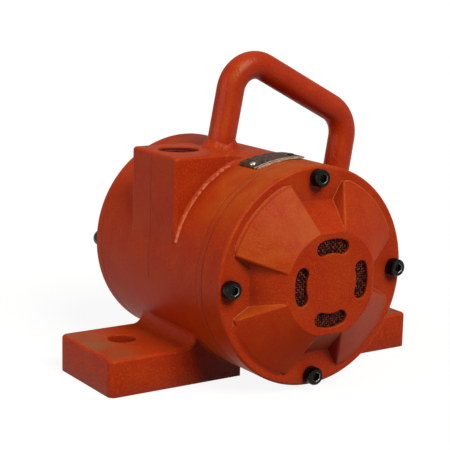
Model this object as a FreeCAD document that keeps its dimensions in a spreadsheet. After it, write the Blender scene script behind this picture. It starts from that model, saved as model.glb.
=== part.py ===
import FreeCAD, Part
import math
import os
import re
import Sketcher

# Turbine vibration motor driven by compressed air.
#
# A cast housing with two feet carries an unbalanced turbine rotor on two roller bearings.
# Air enters the threaded port, the nozzle turns it onto the wheel's buckets, and it leaves
# through the front bearing plate, the muffler pad, the screen and the slots of the cover.
#
# The part stands on z = 0 with its origin midway between the two bolt holes of the feet.
# +X is to the right, the slotted cover faces -Y and +Z is up.
# Most pieces are drawn in the machine's own frame: x to the right, y up from the rotor's axis
# and z along the axis, positive towards the slotted cover.

# Driving dimensions in millimetres and degrees
SIZES = {
    # Barrel
    "barrel_radius": 81.2,
    "ground_gap": 4.2,
    "barrel_wall": 17.2,
    "barrel_length": 140.8,
    "barrel_chamfer": 0.8,
    # Feet
    "foot_span": 273.4,
    "foot_gap": 51.2,
    "foot_height": 28.0,
    "foot_front": 46.8,
    "foot_rear": 33.2,
    "foot_fillet": 8.4,
    "foot_bite": 0.4,
    "foot_corner": 5.0,
    "foot_edge": 2.5,
    "foot_cove": 2.0,
    "bolt_spacing": 203.2,
    "bolt_hole_radius": 10.6,
    "bolt_hole_edge": 1.0,
    # Port boss, port and nozzle
    "boss_rise": 1.8,
    "boss_front": 36.5,
    "boss_rear": 27.0,
    "boss_setback": 1.8,
    "boss_corner": 3.4,
    "boss_inner_corner": 6.0,
    "boss_gap": 1.5,
    "boss_edge": 2.4,
    "boss_cove": 3.0,
    "port_inset": 26.5,
    "port_radius": 15.55,
    "port_depth": 26.0,
    "port_chamfer": 1.0,
    "nozzle_radius": 7.0,
    "nozzle_length": 12.0,
    "nozzle_mouth_radius": 6.0,
    "nozzle_mouth_depth": 4.0,
    "throat_radius": 4.0,
    "passage_depth": 36.0,
    # Stack of plates at the ends of the barrel
    "gasket": 0.8,
    "gasket_setback": 0.2,
    "plate_rim": 5.6,
    "cover_skirt": 22.4,
    "rear_flange": 9.6,
    "spigot": 4.0,
    "spigot_gap": 0.1,
    # Lobed faces of the covers
    "rim_width": 8.4,
    "rim_edge": 2.2,
    "lobe_step": 1.8,
    "lobe_edge": 1.7,
    "dome_height": 22.3,
    "rear_dome_height": 12.0,
    "face_radius": 38.4,
    "face_wall": 2.4,
    "pad_length": 25.2,
    "pad_half_width": 14.9,
    "pocket_flare": 30.0,
    "pocket_overrun": 4.0,
    "pocket_cove": 1.2,
    "chord_half_width": 10.0,
    "shoulder_wall": 6.0,
    "slot_circle": 27.2,
    "slot_half_width": 5.2,
    "slot_half_angle": 19.0,
    "slot_land": 3.0,
    "slot_edge": 0.8,
    # Cover screws
    "screw_inset": 8.0,
    "screw_radius": 4.0,
    "screw_clearance": 0.4,
    "thread_gap": 0.1,
    "screw_head_radius": 6.5,
    "screw_head_height": 8.0,
    "screw_head_edge": 0.6,
    "socket_flats": 6.0,
    "socket_depth": 4.0,
    "thread_reach": 16.4,
    "tap_depth": 20.0,
    # Muffler and screen
    "screen_thickness": 1.2,
    "screen_hole_radius": 1.7,
    "screen_hole_count": 20,
    "muffler_gap": 0.3,
    # Bearings and what holds them
    "hub_reach": 16.0,
    "hub_radius": 33.0,
    "lip_radius": 18.0,
    "seat_gap": 0.05,
    "exhaust_hole_radius": 7.5,
    "exhaust_hole_count": 6,
    "bearing_step": 0.5,
    "bearing_radius": 26.0,
    "bearing_width": 15.0,
    "journal_radius": 12.5,
    "inner_race_radius": 15.75,
    "outer_race_radius": 23.25,
    "rib_height": 1.45,
    "roller_length": 8.0,
    "roller_play": 0.2,
    "roller_count": 12,
    "cage_width": 12.0,
    "cage_thickness": 3.0,
    "cage_play": 0.3,
    "washer_height": 1.5,
    "washer_thickness": 0.8,
    # Rotor
    "shaft_radius": 15.0,
    "shaft_tail": 4.0,
    "shaft_end_gap": 1.1,
    "shaft_chamfer": 1.0,
    "rotor_gap": 3.9,
    "collar_radius": 22.0,
    "collar_width": 5.0,
    "rotor_fit": 0.02,
    "wheel_width": 40.0,
    "wheel_gap": 4.0,
    "wheel_hub_radius": 26.0,
    "wheel_web": 18.0,
    "wheel_rim": 19.0,
    "bucket_radius": 7.5,
    "bucket_lean": 2.0,
    "bucket_count": 20,
    "bucket_wall": 5.0,
    "weight_gap": 12.0,
    "weight_hub_radius": 24.0,
    "weight_chord": 8.0,
    "key_width": 8.0,
    "key_height": 7.0,
    "key_depth": 4.0,
    "snap_ring_thickness": 1.4,
    "snap_ring_radius": 19.5,
    "snap_ring_opening": 9.0,
    "groove_depth": 0.8,
    # Carrying handle
    "handle_radius": 10.7,
    "handle_foot_left": 17.4,
    "handle_crown_left": 4.0,
    "handle_crown_rise": 71.6,
    "handle_crown_bend": 21.5,
    "handle_shoulder_out": 20.5,
    "handle_shoulder_rise": 16.7,
    "handle_shoulder_bend": 24.0,
    "handle_end_out": 3.3,
    "handle_end_drop": 5.0,
    "handle_trim": 12.0,
    "weld_width": 3.5,
    # Nameplate
    "nameplate_setback": 1.4,
    "nameplate_gap": 2.5,
    "nameplate_thickness": 0.8,
    "nameplate_radius": 100.0,
    "nameplate_corner": 4.5,
    "nameplate_touch_angle": 14.0,
    "nameplate_left_angle": 6.0,
    "nameplate_right_angle": 19.2,
    "rivet_inset_angle": 2.9,
    "rivet_radius": 1.5,
    "rivet_length": 6.0,
    "rivet_head_radius": 2.6,
    "rivet_crown_radius": 1.6,
    "rivet_head_height": 1.2,
}

# Places along the axis, as expressions of the sizes
BARREL_END = "barrel_length / 2"
PLATE_BACK = BARREL_END + " + gasket"
PLATE_FRONT = PLATE_BACK + " + plate_rim"
COVER_BACK = PLATE_FRONT + " + gasket"
RIM_FACE = COVER_BACK + " + cover_skirt"
COVER_FACE = RIM_FACE + " + dome_height"
REAR_BACK = "-(" + BARREL_END + " + gasket)"
REAR_RIM = REAR_BACK + " - rear_flange"
REAR_FACE = REAR_RIM + " - rear_dome_height"
HUB_END = BARREL_END + " - hub_reach"
BEARING_IN = HUB_END + " + bearing_step"
BEARING_OUT = BEARING_IN + " + bearing_width"
SHAFT_END = BEARING_OUT + " + shaft_tail"
STACK_END = BEARING_IN + " - rotor_gap - collar_width"
CAVITY_TOP = COVER_FACE + " - face_wall"
SCREEN_BACK = CAVITY_TOP + " - muffler_gap - screen_thickness"

# Radii and heights that several pieces share
BORE = "(barrel_radius - barrel_wall)"
BOSS_TOP = "(barrel_radius + boss_rise)"
PORT_RADIUS_OF_JET = "(barrel_radius - port_inset)"
PORT_FLOOR = "(" + BOSS_TOP + " - port_depth)"
SCREW_CIRCLE = "(barrel_radius - screw_inset)"
LOBE_RADIUS = "(barrel_radius - rim_width)"
PAD_EDGE = "(barrel_radius - pad_length)"
SPIGOT_RADIUS = "(" + BORE + " - spigot_gap)"
SLOT_REACH = "(slot_circle + slot_half_width + slot_land)"
SHOULDER_RADIUS = "(" + PAD_EDGE + " - shoulder_wall)"
ROLLER_CIRCLE = "((inner_race_radius + outer_race_radius) / 2)"
ROLLER_RADIUS = "((outer_race_radius - inner_race_radius) / 2 - roller_play)"
WHEEL_RADIUS = "(" + BORE + " - wheel_gap)"
KEY_FLOOR = "(shaft_radius - key_depth)"
KEY_TOP = "(" + KEY_FLOOR + " + key_height)"
AXIS_HEIGHT = "(barrel_radius + ground_gap)"
FOOT_TOP = f"(foot_height - {AXIS_HEIGHT})"
BOSS_INNER = "(handle_foot_left + handle_radius + boss_gap + boss_cove)"
NAMEPLATE_FRONT = f"({BARREL_END} - nameplate_setback)"
NAMEPLATE_REAR = "(boss_front + boss_cove + nameplate_gap)"
RIVET_HEIGHT = f"({NAMEPLATE_FRONT} + {NAMEPLATE_REAR}) / 2"

doc = FreeCAD.newDocument("VibrationMotor")
sheet = doc.addObject("Spreadsheet::Sheet", "Size")
for row, (size_name, size_value) in enumerate(SIZES.items(), 1):
    sheet.set(f"A{row}", size_name)
    sheet.set(f"B{row}", str(size_value))
    sheet.setAlias(f"B{row}", size_name)
scratch = doc.addObject("Spreadsheet::Sheet", "Scratch")
doc.recompute()

pieces = []


def tied(expression):
    """Point each size named in an expression at its cell in the sheet."""
    return re.sub(r"[a-z_]+", lambda word: "Size." + word[0] if word[0] in SIZES else word[0], expression)


def number(expression):
    """Work out what an expression of sizes comes to."""
    scratch.set("A1", "=" + tied(expression))
    scratch.recompute()
    return float(scratch.get("A1"))


def body(name):
    """Start a piece in the machine's frame, on the rotor's axis."""
    made = doc.addObject("PartDesign::Body", name)
    made.Label = name
    made.Placement = FreeCAD.Placement(FreeCAD.Vector(), FreeCAD.Rotation(FreeCAD.Vector(1, 0, 0), 90))
    made.setExpression("Placement.Base.z", tied(AXIS_HEIGHT))
    pieces.append(made)
    return made


def datum(owner, role):
    """Find an origin plane or axis of a piece."""
    return [feature for feature in owner.Origin.OriginFeatures if feature.Role == role][0]


def sketch(owner, name, height="0", role="XY_Plane"):
    """Lay a sketch on an origin plane of a piece, shifted along the plane's normal."""
    flat = owner.newObject("Sketcher::SketchObject", name)
    flat.AttachmentSupport = [(datum(owner, role), "")]
    flat.MapMode = "FlatFace"
    flat.setExpression("AttachmentOffset.Base.z", tied(height))
    return flat


def hold(flat, kind, where, expression):
    """Add a dimension to a sketch and bind it to the sheet."""
    placed = flat.addConstraint(Sketcher.Constraint(kind, *where, number(expression)))
    flat.setExpression(f"Constraints[{placed}]", tied(expression))


def hold_point(flat, where, point):
    """Bind both coordinates of a point of a sketch."""
    hold(flat, "DistanceX", where, point[0])
    hold(flat, "DistanceY", where, point[1])


def place(point):
    """Turn a pair of expressions into a vector."""
    return FreeCAD.Vector(number(point[0]), number(point[1]), 0)


def circle(flat, radius, x="0", y="0"):
    """Draw a circle whose centre and radius follow the sheet."""
    drawn = flat.addGeometry(Part.Circle(place((x, y)), FreeCAD.Vector(0, 0, 1), number(radius)))
    hold(flat, "Radius", (drawn,), radius)
    hold_point(flat, (drawn, 3), (x, y))


def arc_between(start, end, radius, centre_side):
    """Make the short arc from start to end, with its centre to the left (1) or right (-1)."""
    half = (end - start) * 0.5
    across = FreeCAD.Vector(-half.y, half.x, 0).normalize()
    centre = start + half + across * centre_side * math.sqrt(radius ** 2 - half.Length ** 2)
    first, last = (start, end) if centre_side > 0 else (end, start)
    from_angle = math.atan2(first.y - centre.y, first.x - centre.x)
    to_angle = math.atan2(last.y - centre.y, last.x - centre.x)
    whole = Part.Circle(centre, FreeCAD.Vector(0, 0, 1), radius)
    return Part.ArcOfCircle(whole, from_angle, to_angle)


def outline(flat, corners, arcs=None):
    """Draw a closed outline; arcs gives (radius, side of the centre) for the edge after a corner."""
    arcs = arcs or {}
    count = len(corners)
    places = [place(corner) for corner in corners]
    ends = []
    for index, start in enumerate(places):
        end = places[(index + 1) % count]
        if index in arcs:
            radius, side = arcs[index]
            drawn = flat.addGeometry(arc_between(start, end, number(radius), side))
            hold(flat, "Radius", (drawn,), radius)
            ends.append((drawn, 1, 2) if side > 0 else (drawn, 2, 1))
        else:
            drawn = flat.addGeometry(Part.LineSegment(start, end))
            ends.append((drawn, 1, 2))
    for index, corner in enumerate(corners):
        drawn, start_point, end_point = ends[index]
        before, before_start, before_end = ends[index - 1]
        flat.addConstraint(Sketcher.Constraint("Coincident", before, before_end, drawn, start_point))
        hold_point(flat, (drawn, start_point), corner)


def rectangle(flat, left, low, right, high):
    """Draw a rectangle from its four sides."""
    outline(flat, [(left, low), (right, low), (right, high), (left, high)])


def kidney(flat, circle_radius, half_width, half_angle):
    """Draw a curved slot across the top of a circle round the axis."""
    outer = f"({circle_radius} + {half_width})"
    inner = f"({circle_radius} - {half_width})"
    centre = FreeCAD.Vector()
    normal = FreeCAD.Vector(0, 0, 1)
    reach = math.radians(number(half_angle))
    up = math.pi / 2
    curves = []
    for radius in (outer, inner):
        rounded = Part.Circle(centre, normal, number(radius))
        drawn = flat.addGeometry(Part.ArcOfCircle(rounded, up - reach, up + reach))
        flat.addConstraint(Sketcher.Constraint("Coincident", drawn, 3, -1, 1))
        hold(flat, "Radius", (drawn,), radius)
        hold(flat, "DistanceX", (drawn, 1), f"{radius} * sin({half_angle})")
        hold(flat, "DistanceX", (drawn, 2), f"-{radius} * sin({half_angle})")
        curves.append(drawn)
    for side, corner in ((1, 1), (-1, 2)):
        middle = FreeCAD.Vector(side * math.sin(reach), math.cos(reach), 0) * number(circle_radius)
        rounded = Part.Circle(middle, normal, number(half_width))
        turn_from = up - reach - math.pi if side > 0 else up + reach
        drawn = flat.addGeometry(Part.ArcOfCircle(rounded, turn_from, turn_from + math.pi))
        first, last = (curves[1], curves[0]) if side > 0 else (curves[0], curves[1])
        flat.addConstraint(Sketcher.Constraint("Coincident", drawn, 1, first, corner))
        flat.addConstraint(Sketcher.Constraint("Coincident", drawn, 2, last, corner))
        hold(flat, "DistanceX", (drawn, 3), f"{side} * {circle_radius} * sin({half_angle})")


def pad(owner, flat, length, back=False):
    """Raise a sketch into a solid along its normal, or against it."""
    made = owner.newObject("PartDesign::Pad", flat.Name + "Pad")
    made.Profile = flat
    made.Reversed = back
    made.setExpression("Length", tied(length))
    return made


def cut(owner, flat, depth, along=False):
    """Cut a sketch out of a solid against its normal, or along it, and see that it bit."""
    doc.recompute()
    before = owner.Shape.Volume
    made = owner.newObject("PartDesign::Pocket", flat.Name + "Cut")
    made.Profile = flat
    made.Reversed = along
    made.setExpression("Length", tied(depth))
    doc.recompute()
    if owner.Shape.Volume >= before:
        raise RuntimeError(f"{flat.Name} cuts nothing")
    return made


def turn(owner, flat, angle="360"):
    """Turn a half section round the axis of its sketch."""
    made = owner.newObject("PartDesign::Revolution", flat.Name + "Turn")
    made.Profile = flat
    made.ReferenceAxis = (flat, ["V_Axis"])
    made.setExpression("Angle", tied(angle))
    return made


def repeat(owner, features, count):
    """Repeat features evenly round the axis."""
    made = owner.newObject("PartDesign::PolarPattern", features[-1].Name + "Ring")
    made.Originals = features
    made.Axis = (datum(owner, "Z_Axis"), [""])
    made.Angle = 360
    made.setExpression("Occurrences", tied(count))
    owner.Tip = made
    return made


def chosen_edges(owner, test):
    """Name the edges of a piece that pass a test, in the piece's own frame."""
    doc.recompute()
    shape = owner.Tip.Shape
    return [f"Edge{index}" for index, edge in enumerate(shape.Edges, 1) if test(edge)]


def middle_of(edge):
    """Find the point halfway along an edge."""
    return edge.valueAt((edge.FirstParameter + edge.LastParameter) / 2)


def dress(owner, kind, edges, radius):
    """Round or chamfer edges of a piece."""
    base = owner.Tip
    made = owner.newObject("PartDesign::" + kind, base.Name + kind)
    made.Base = (base, edges)
    made.setExpression("Radius" if kind == "Fillet" else "Size", tied(radius))
    owner.Tip = made
    return made


def near(value, expression):
    """Say whether a measured value is the one that an expression gives."""
    return abs(value - number(expression)) < 0.01


def is_circle(edge, radius, height):
    """Say whether an edge is round the axis with a given radius and height."""
    curve = edge.Curve
    if curve.TypeId != "Part::GeomCircle":
        return False
    on_axis = math.hypot(curve.Center.x, curve.Center.y) < 0.01
    return on_axis and near(curve.Radius, radius) and near(curve.Center.z, height)


def is_hole_mouth(edge, radius, height):
    """Say whether an edge is the round mouth of an upright hole at a height above the axis."""
    curve = edge.Curve
    if curve.TypeId != "Part::GeomCircle":
        return False
    return near(curve.Radius, radius) and near(curve.Center.y, height)


def screw_places():
    """Give the four places on the screw circle: right, top, left and bottom."""
    return ((SCREW_CIRCLE, "0"), ("0", SCREW_CIRCLE), ("-" + SCREW_CIRCLE, "0"), ("0", "-" + SCREW_CIRCLE))


def drill_screw_holes(owner, name, height, depth, play, along=False):
    """Drill the four holes of the screw circle."""
    holes = sketch(owner, name, height)
    for x, y in screw_places():
        circle(holes, f"screw_radius + {play}", x, y)
    cut(owner, holes, depth, along)


def bow_centre():
    """Find the centre of the nameplate's bow, which touches the barrel along one line only."""
    away = number("barrel_radius - nameplate_radius")
    touch = math.radians(number("nameplate_touch_angle"))
    return FreeCAD.Vector(-math.sin(touch), math.cos(touch), 0) * away


def rivet_placement(angle_from_top, radius):
    """Stand a small piece on the nameplate's bow, its own z pointing out of the plate."""
    outward = FreeCAD.Rotation(FreeCAD.Vector(0, 0, 1), -angle_from_top)
    upright = FreeCAD.Rotation(FreeCAD.Vector(1, 0, 0), -90)
    spot = outward.multVec(FreeCAD.Vector(0, radius, 0)) + FreeCAD.Vector(0, 0, number(RIVET_HEIGHT))
    return FreeCAD.Placement(bow_centre() + spot, outward.multiply(upright))


def rivet_angles():
    """Give the angles of the two rivets round the bow, clockwise from the top."""
    left = number("rivet_inset_angle - nameplate_left_angle - nameplate_touch_angle")
    right = number("nameplate_right_angle - nameplate_touch_angle - rivet_inset_angle")
    return (left, right)


# Housing casting: barrel, two feet and the port boss
def foot(flat, side):
    """Outline one foot, with the cove that runs up into the barrel."""
    sign = "-" if side < 0 else ""
    reach = "(barrel_radius + foot_fillet - foot_bite)"
    cove_height = f"({AXIS_HEIGHT} - foot_height - foot_fillet)"
    cove_out = f"sqrt({reach}^2 - {cove_height}^2)"
    shrink = f"(1 - foot_fillet / {reach})"
    corners = [
        (f"{sign}foot_span / 2", "-" + AXIS_HEIGHT),
        (f"{sign}foot_gap / 2", "-" + AXIS_HEIGHT),
        (f"{sign}foot_gap / 2", f"-{cove_height} * {shrink}"),
        (f"{sign}{cove_out} * {shrink}", f"-{cove_height} * {shrink}"),
        (f"{sign}{cove_out}", FOOT_TOP),
        (f"{sign}foot_span / 2", FOOT_TOP),
    ]
    outline(flat, corners, {3: ("foot_fillet", side)})


def round_roots(owner):
    """Run a cove round the boss and the feet where they meet the barrel."""
    radius = number("barrel_radius")
    front, rear = number("foot_front"), -number("foot_rear")
    inner = number("foot_gap / 2")
    boss_front, boss_rear = number("boss_front"), -number("boss_rear")

    def on_barrel(edge):
        middle = middle_of(edge)
        return abs(math.hypot(middle.x, middle.y) - radius) < 0.02

    def boss_root(edge):
        middle = middle_of(edge)
        return on_barrel(edge) and middle.y > 0 and boss_rear - 0.01 < middle.z < boss_front + 0.01 \
            and middle.x < 0.01

    dress(owner, "Fillet", chosen_edges(owner, boss_root), "boss_cove")

    def foot_root(edge):
        middle = middle_of(edge)
        at_face = abs(middle.z - front) < 0.01 or abs(middle.z - rear) < 0.01
        at_gap = abs(abs(middle.x) - inner) < 0.01
        return on_barrel(edge) and middle.y < 0 and (at_face or at_gap)

    dress(owner, "Fillet", chosen_edges(owner, foot_root), "foot_cove")


def main_housing():
    """Cast the feet and the boss, round them, then join the barrel and machine it."""
    made = body("main_housing")
    feet = sketch(made, "FeetSketch", "-foot_rear")
    foot(feet, -1)
    foot(feet, 1)
    pad(made, feet, "foot_front + foot_rear")
    half_span = number("foot_span / 2")
    foot_top = number(FOOT_TOP)

    def upright_corner(edge):
        first, last = edge.firstVertex().Point, edge.lastVertex().Point
        at_end = abs(abs(first.x) - half_span) < 0.01 and abs(abs(last.x) - half_span) < 0.01
        return at_end and abs(first.z - last.z) < 0.01 and abs(first.y - last.y) > 1

    dress(made, "Fillet", chosen_edges(made, upright_corner), "foot_corner")

    def outer_top_edge(edge):
        middle = middle_of(edge)
        return abs(middle.y - foot_top) < 0.01 and abs(abs(middle.x) - half_span) < 0.01

    dress(made, "Fillet", chosen_edges(made, outer_top_edge), "foot_edge")

    boss = sketch(made, "BossSketch", "0", "XZ_Plane")
    rectangle(boss, "-(barrel_radius - boss_setback)", "-boss_rear", "-" + BOSS_INNER, "boss_front")
    pad(made, boss, BOSS_TOP, back=True)
    boss_top = number(BOSS_TOP)

    boss_inner = number(BOSS_INNER)

    def upright_boss_edge(edge):
        first, last = edge.firstVertex().Point, edge.lastVertex().Point
        return abs(first.y - last.y) > boss_top - 0.01

    def inner_boss_edge(edge):
        return upright_boss_edge(edge) and abs(middle_of(edge).x + boss_inner) < 0.01

    def outer_boss_edge(edge):
        return upright_boss_edge(edge) and not inner_boss_edge(edge) and middle_of(edge).x < -boss_inner - 1

    dress(made, "Fillet", chosen_edges(made, inner_boss_edge), "boss_inner_corner")
    dress(made, "Fillet", chosen_edges(made, outer_boss_edge), "boss_corner")

    def boss_top_edge(edge):
        middle = middle_of(edge)
        return abs(middle.y - boss_top) < 0.01

    dress(made, "Fillet", chosen_edges(made, boss_top_edge), "boss_edge")

    barrel = sketch(made, "BarrelSketch", "-" + BARREL_END)
    circle(barrel, "barrel_radius")
    pad(made, barrel, "barrel_length")
    round_roots(made)
    rims = chosen_edges(made, lambda edge: is_circle(edge, "barrel_radius", BARREL_END)
                        or is_circle(edge, "barrel_radius", "-" + BARREL_END))
    dress(made, "Chamfer", rims, "barrel_chamfer")

    bore = sketch(made, "BoreSketch", BARREL_END)
    circle(bore, BORE)
    cut(made, bore, "barrel_length")

    port = sketch(made, "PortSketch", "-" + BOSS_TOP, "XZ_Plane")
    circle(port, "port_radius", "-" + PORT_RADIUS_OF_JET)
    cut(made, port, "port_depth", along=True)
    passage = sketch(made, "PassageSketch", "-" + PORT_FLOOR, "XZ_Plane")
    circle(passage, "nozzle_radius", "-" + PORT_RADIUS_OF_JET)
    cut(made, passage, "passage_depth", along=True)

    bolts = sketch(made, "BoltSketch", AXIS_HEIGHT, "XZ_Plane")
    circle(bolts, "bolt_hole_radius", "bolt_spacing / 2")
    circle(bolts, "bolt_hole_radius", "-bolt_spacing / 2")
    cut(made, bolts, "foot_height")
    mouths = chosen_edges(made, lambda edge: is_hole_mouth(edge, "bolt_hole_radius", FOOT_TOP))
    dress(made, "Fillet", mouths, "bolt_hole_edge")
    mouth = chosen_edges(made, lambda edge: is_hole_mouth(edge, "port_radius", BOSS_TOP))
    dress(made, "Chamfer", mouth, "port_chamfer")

    drill_screw_holes(made, "FrontTapSketch", BARREL_END, "tap_depth", "thread_gap")
    drill_screw_holes(made, "RearTapSketch", "-" + BARREL_END, "tap_depth", "thread_gap", along=True)

    for angle in rivet_angles():
        hole = made.newObject("PartDesign::SubtractiveCylinder", "RivetHole")
        hole.setExpression("Radius", tied("rivet_radius + rotor_fit"))
        hole.setExpression("Height", tied("rivet_length + rotor_fit"))
        hole.Placement = rivet_placement(angle, number("nameplate_radius - rivet_length - rotor_fit"))


# Front cover: skirt, flat rim, four cone lobes between four screw pockets, and exhaust slots
def cut_screw_pockets(owner, name, rim, face):
    """Cut the four drafted pockets that leave the lobes standing between them."""
    reach = "(barrel_radius + pocket_overrun)"
    chord = "sqrt(face_radius^2 - chord_half_width^2)"
    levels = []
    for level, height, inner, half in (("Floor", rim, PAD_EDGE, "pad_half_width"),
                                       ("Top", face, chord, "chord_half_width")):
        flat = sketch(owner, name + level, height)
        outer_half = f"({half} + ({reach} - {inner}) * tan(pocket_flare))"
        outline(flat, [(f"-{half}", inner), (f"-{outer_half}", reach), (outer_half, reach), (half, inner)])
        levels.append(flat)
    doc.recompute()
    before = owner.Shape.Volume
    pocket = owner.newObject("PartDesign::SubtractiveLoft", name + "Loft")
    pocket.Profile = levels[0]
    pocket.Sections = [levels[1]]
    pocket.Ruled = True
    doc.recompute()
    if owner.Shape.Volume >= before:
        raise RuntimeError(f"{name} cuts nothing")
    repeat(owner, [pocket], "4")


def round_lobes(owner, rim, face):
    """Round every edge that runs from a lobe's step corners, and the edge of the middle face."""
    rim_height, face_height = number(rim), number(face)
    lobe_radius, step = number(LOBE_RADIUS), number("lobe_step")
    face_edges = (number("face_radius"), number("sqrt(face_radius^2 - chord_half_width^2)"))

    def on_step(point):
        away = math.hypot(point.x, point.y)
        return abs(away - lobe_radius) < 0.01 and abs(abs(point.z - rim_height) - step) < 0.01

    def lobe_edge(edge):
        middle = middle_of(edge)
        away = math.hypot(middle.x, middle.y)
        at_face = abs(middle.z - face_height) < 0.01 and min(abs(away - reach) for reach in face_edges) < 0.01
        return at_face or any(on_step(corner.Point) for corner in edge.Vertexes)

    dress(owner, "Fillet", chosen_edges(owner, lobe_edge), "lobe_edge")
    pad_edge = number(PAD_EDGE)

    def pocket_root(edge):
        middle = middle_of(edge)
        across = max(abs(middle.x), abs(middle.y))
        return abs(middle.z - rim_height) < 0.01 and abs(across - pad_edge) < 0.01

    dress(owner, "Fillet", chosen_edges(owner, pocket_root), "pocket_cove")


def front_cover():
    """Turn the shell, cut the pockets, the slots and the screw holes, and round the edges."""
    made = body("front_cover")
    shell = sketch(made, "FrontCoverSketch", "0", "XZ_Plane")
    outline(shell, [
        (BORE, COVER_BACK),
        ("barrel_radius", COVER_BACK),
        ("barrel_radius", RIM_FACE),
        (LOBE_RADIUS, RIM_FACE),
        (LOBE_RADIUS, RIM_FACE + " + lobe_step"),
        ("face_radius", COVER_FACE),
        ("0", COVER_FACE),
        ("0", CAVITY_TOP),
        (SLOT_REACH, CAVITY_TOP),
        (SHOULDER_RADIUS, RIM_FACE + " - shoulder_wall"),
        (BORE, RIM_FACE + " - shoulder_wall"),
    ])
    turn(made, shell)
    cut_screw_pockets(made, "FrontPocket", RIM_FACE, COVER_FACE)
    slot = sketch(made, "SlotSketch", COVER_FACE)
    kidney(slot, "slot_circle", "slot_half_width", "slot_half_angle")
    repeat(made, [cut(made, slot, "face_wall")], "4")
    drill_screw_holes(made, "FrontCoverHoleSketch", RIM_FACE, "cover_skirt", "screw_clearance")
    rim = chosen_edges(made, lambda edge: is_circle(edge, "barrel_radius", RIM_FACE))
    dress(made, "Fillet", rim, "rim_edge")
    round_lobes(made, RIM_FACE, COVER_FACE)
    face_height = number(COVER_FACE)
    reach = number("slot_circle + slot_half_width") + 0.01

    def slot_edge(edge):
        middle = middle_of(edge)
        return abs(middle.z - face_height) < 0.01 and math.hypot(middle.x, middle.y) < reach

    dress(made, "Fillet", chosen_edges(made, slot_edge), "slot_edge")


def rear_cover():
    """Turn the closed end that also carries the rear bearing, then cut its pockets and holes."""
    made = body("rear_cover")
    shell = sketch(made, "RearCoverSketch", "0", "XZ_Plane")
    outline(shell, [
        ("0", REAR_FACE),
        ("face_radius", REAR_FACE),
        (LOBE_RADIUS, REAR_RIM + " - lobe_step"),
        (LOBE_RADIUS, REAR_RIM),
        ("barrel_radius", REAR_RIM),
        ("barrel_radius", REAR_BACK),
        (SPIGOT_RADIUS, REAR_BACK),
        (SPIGOT_RADIUS, REAR_BACK + " + spigot"),
        ("hub_radius", REAR_BACK + " + spigot"),
        ("hub_radius", f"-({HUB_END})"),
        ("bearing_radius + seat_gap", f"-({HUB_END})"),
        ("bearing_radius + seat_gap", f"-({BEARING_OUT})"),
        ("lip_radius", f"-({BEARING_OUT})"),
        ("lip_radius", f"-({SHAFT_END} + shaft_end_gap)"),
        ("0", f"-({SHAFT_END} + shaft_end_gap)"),
    ])
    turn(made, shell)
    cut_screw_pockets(made, "RearPocket", REAR_RIM, REAR_FACE)
    drill_screw_holes(made, "RearCoverHoleSketch", REAR_RIM, "rear_flange", "screw_clearance", along=True)
    rim = chosen_edges(made, lambda edge: is_circle(edge, "barrel_radius", REAR_RIM))
    dress(made, "Fillet", rim, "rim_edge")
    round_lobes(made, REAR_RIM, REAR_FACE)


def front_bearing_plate():
    """Turn the plate that carries the front bearing and drill its exhaust holes."""
    made = body("front_bearing_plate")
    section = sketch(made, "PlateSketch", "0", "XZ_Plane")
    pocket_floor = BEARING_OUT + " + washer_height"
    outline(section, [
        ("lip_radius", PLATE_FRONT),
        ("lip_radius", pocket_floor),
        ("bearing_radius + seat_gap", pocket_floor),
        ("bearing_radius + seat_gap", HUB_END),
        ("hub_radius", HUB_END),
        ("hub_radius", PLATE_BACK + " - spigot"),
        (SPIGOT_RADIUS, PLATE_BACK + " - spigot"),
        (SPIGOT_RADIUS, PLATE_BACK),
        ("barrel_radius", PLATE_BACK),
        ("barrel_radius", PLATE_FRONT),
    ])
    turn(made, section)
    exhaust = sketch(made, "ExhaustSketch", PLATE_FRONT)
    circle(exhaust, "exhaust_hole_radius", "0", f"(hub_radius + {BORE}) / 2")
    repeat(made, [cut(made, exhaust, "plate_rim + spigot")], "exhaust_hole_count")
    drill_screw_holes(made, "PlateHoleSketch", PLATE_FRONT, "plate_rim", "screw_clearance")


def flat_gasket(name, height):
    """Cut a sheet gasket for one end joint."""
    made = body(name)
    ring = sketch(made, name + "_sketch", height)
    circle(ring, "barrel_radius - gasket_setback")
    circle(ring, BORE)
    pad(made, ring, "gasket")
    drill_screw_holes(made, name + "_holes", height, "gasket", "screw_clearance", along=True)


def cover_screws(name, seat, length, front):
    """Make the four socket head screws of one end."""
    made = body(name)
    heads = sketch(made, name + "_heads", seat)
    shanks = sketch(made, name + "_shanks", seat)
    for x, y in screw_places():
        circle(heads, "screw_head_radius", x, y)
        circle(shanks, "screw_radius", x, y)
    pad(made, heads, "screw_head_height", back=not front)
    pad(made, shanks, length, back=front)
    crown = f"{seat} + screw_head_height" if front else f"{seat} - screw_head_height"

    def crown_edge(edge):
        curve = edge.Curve
        if curve.TypeId != "Part::GeomCircle":
            return False
        return near(curve.Radius, "screw_head_radius") and near(curve.Center.z, crown)

    dress(made, "Chamfer", chosen_edges(made, crown_edge), "screw_head_edge")
    sockets = sketch(made, name + "_sockets", crown)
    for x, y in screw_places():
        turns = [(f"cos({60 * step})", f"sin({60 * step})") for step in range(6)]
        corner = "socket_flats / sqrt(3)"
        outline(sockets, [(f"{x} + {corner} * {right}", f"{y} + {corner} * {up}") for right, up in turns])
    cut(made, sockets, "socket_depth", along=not front)


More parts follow.
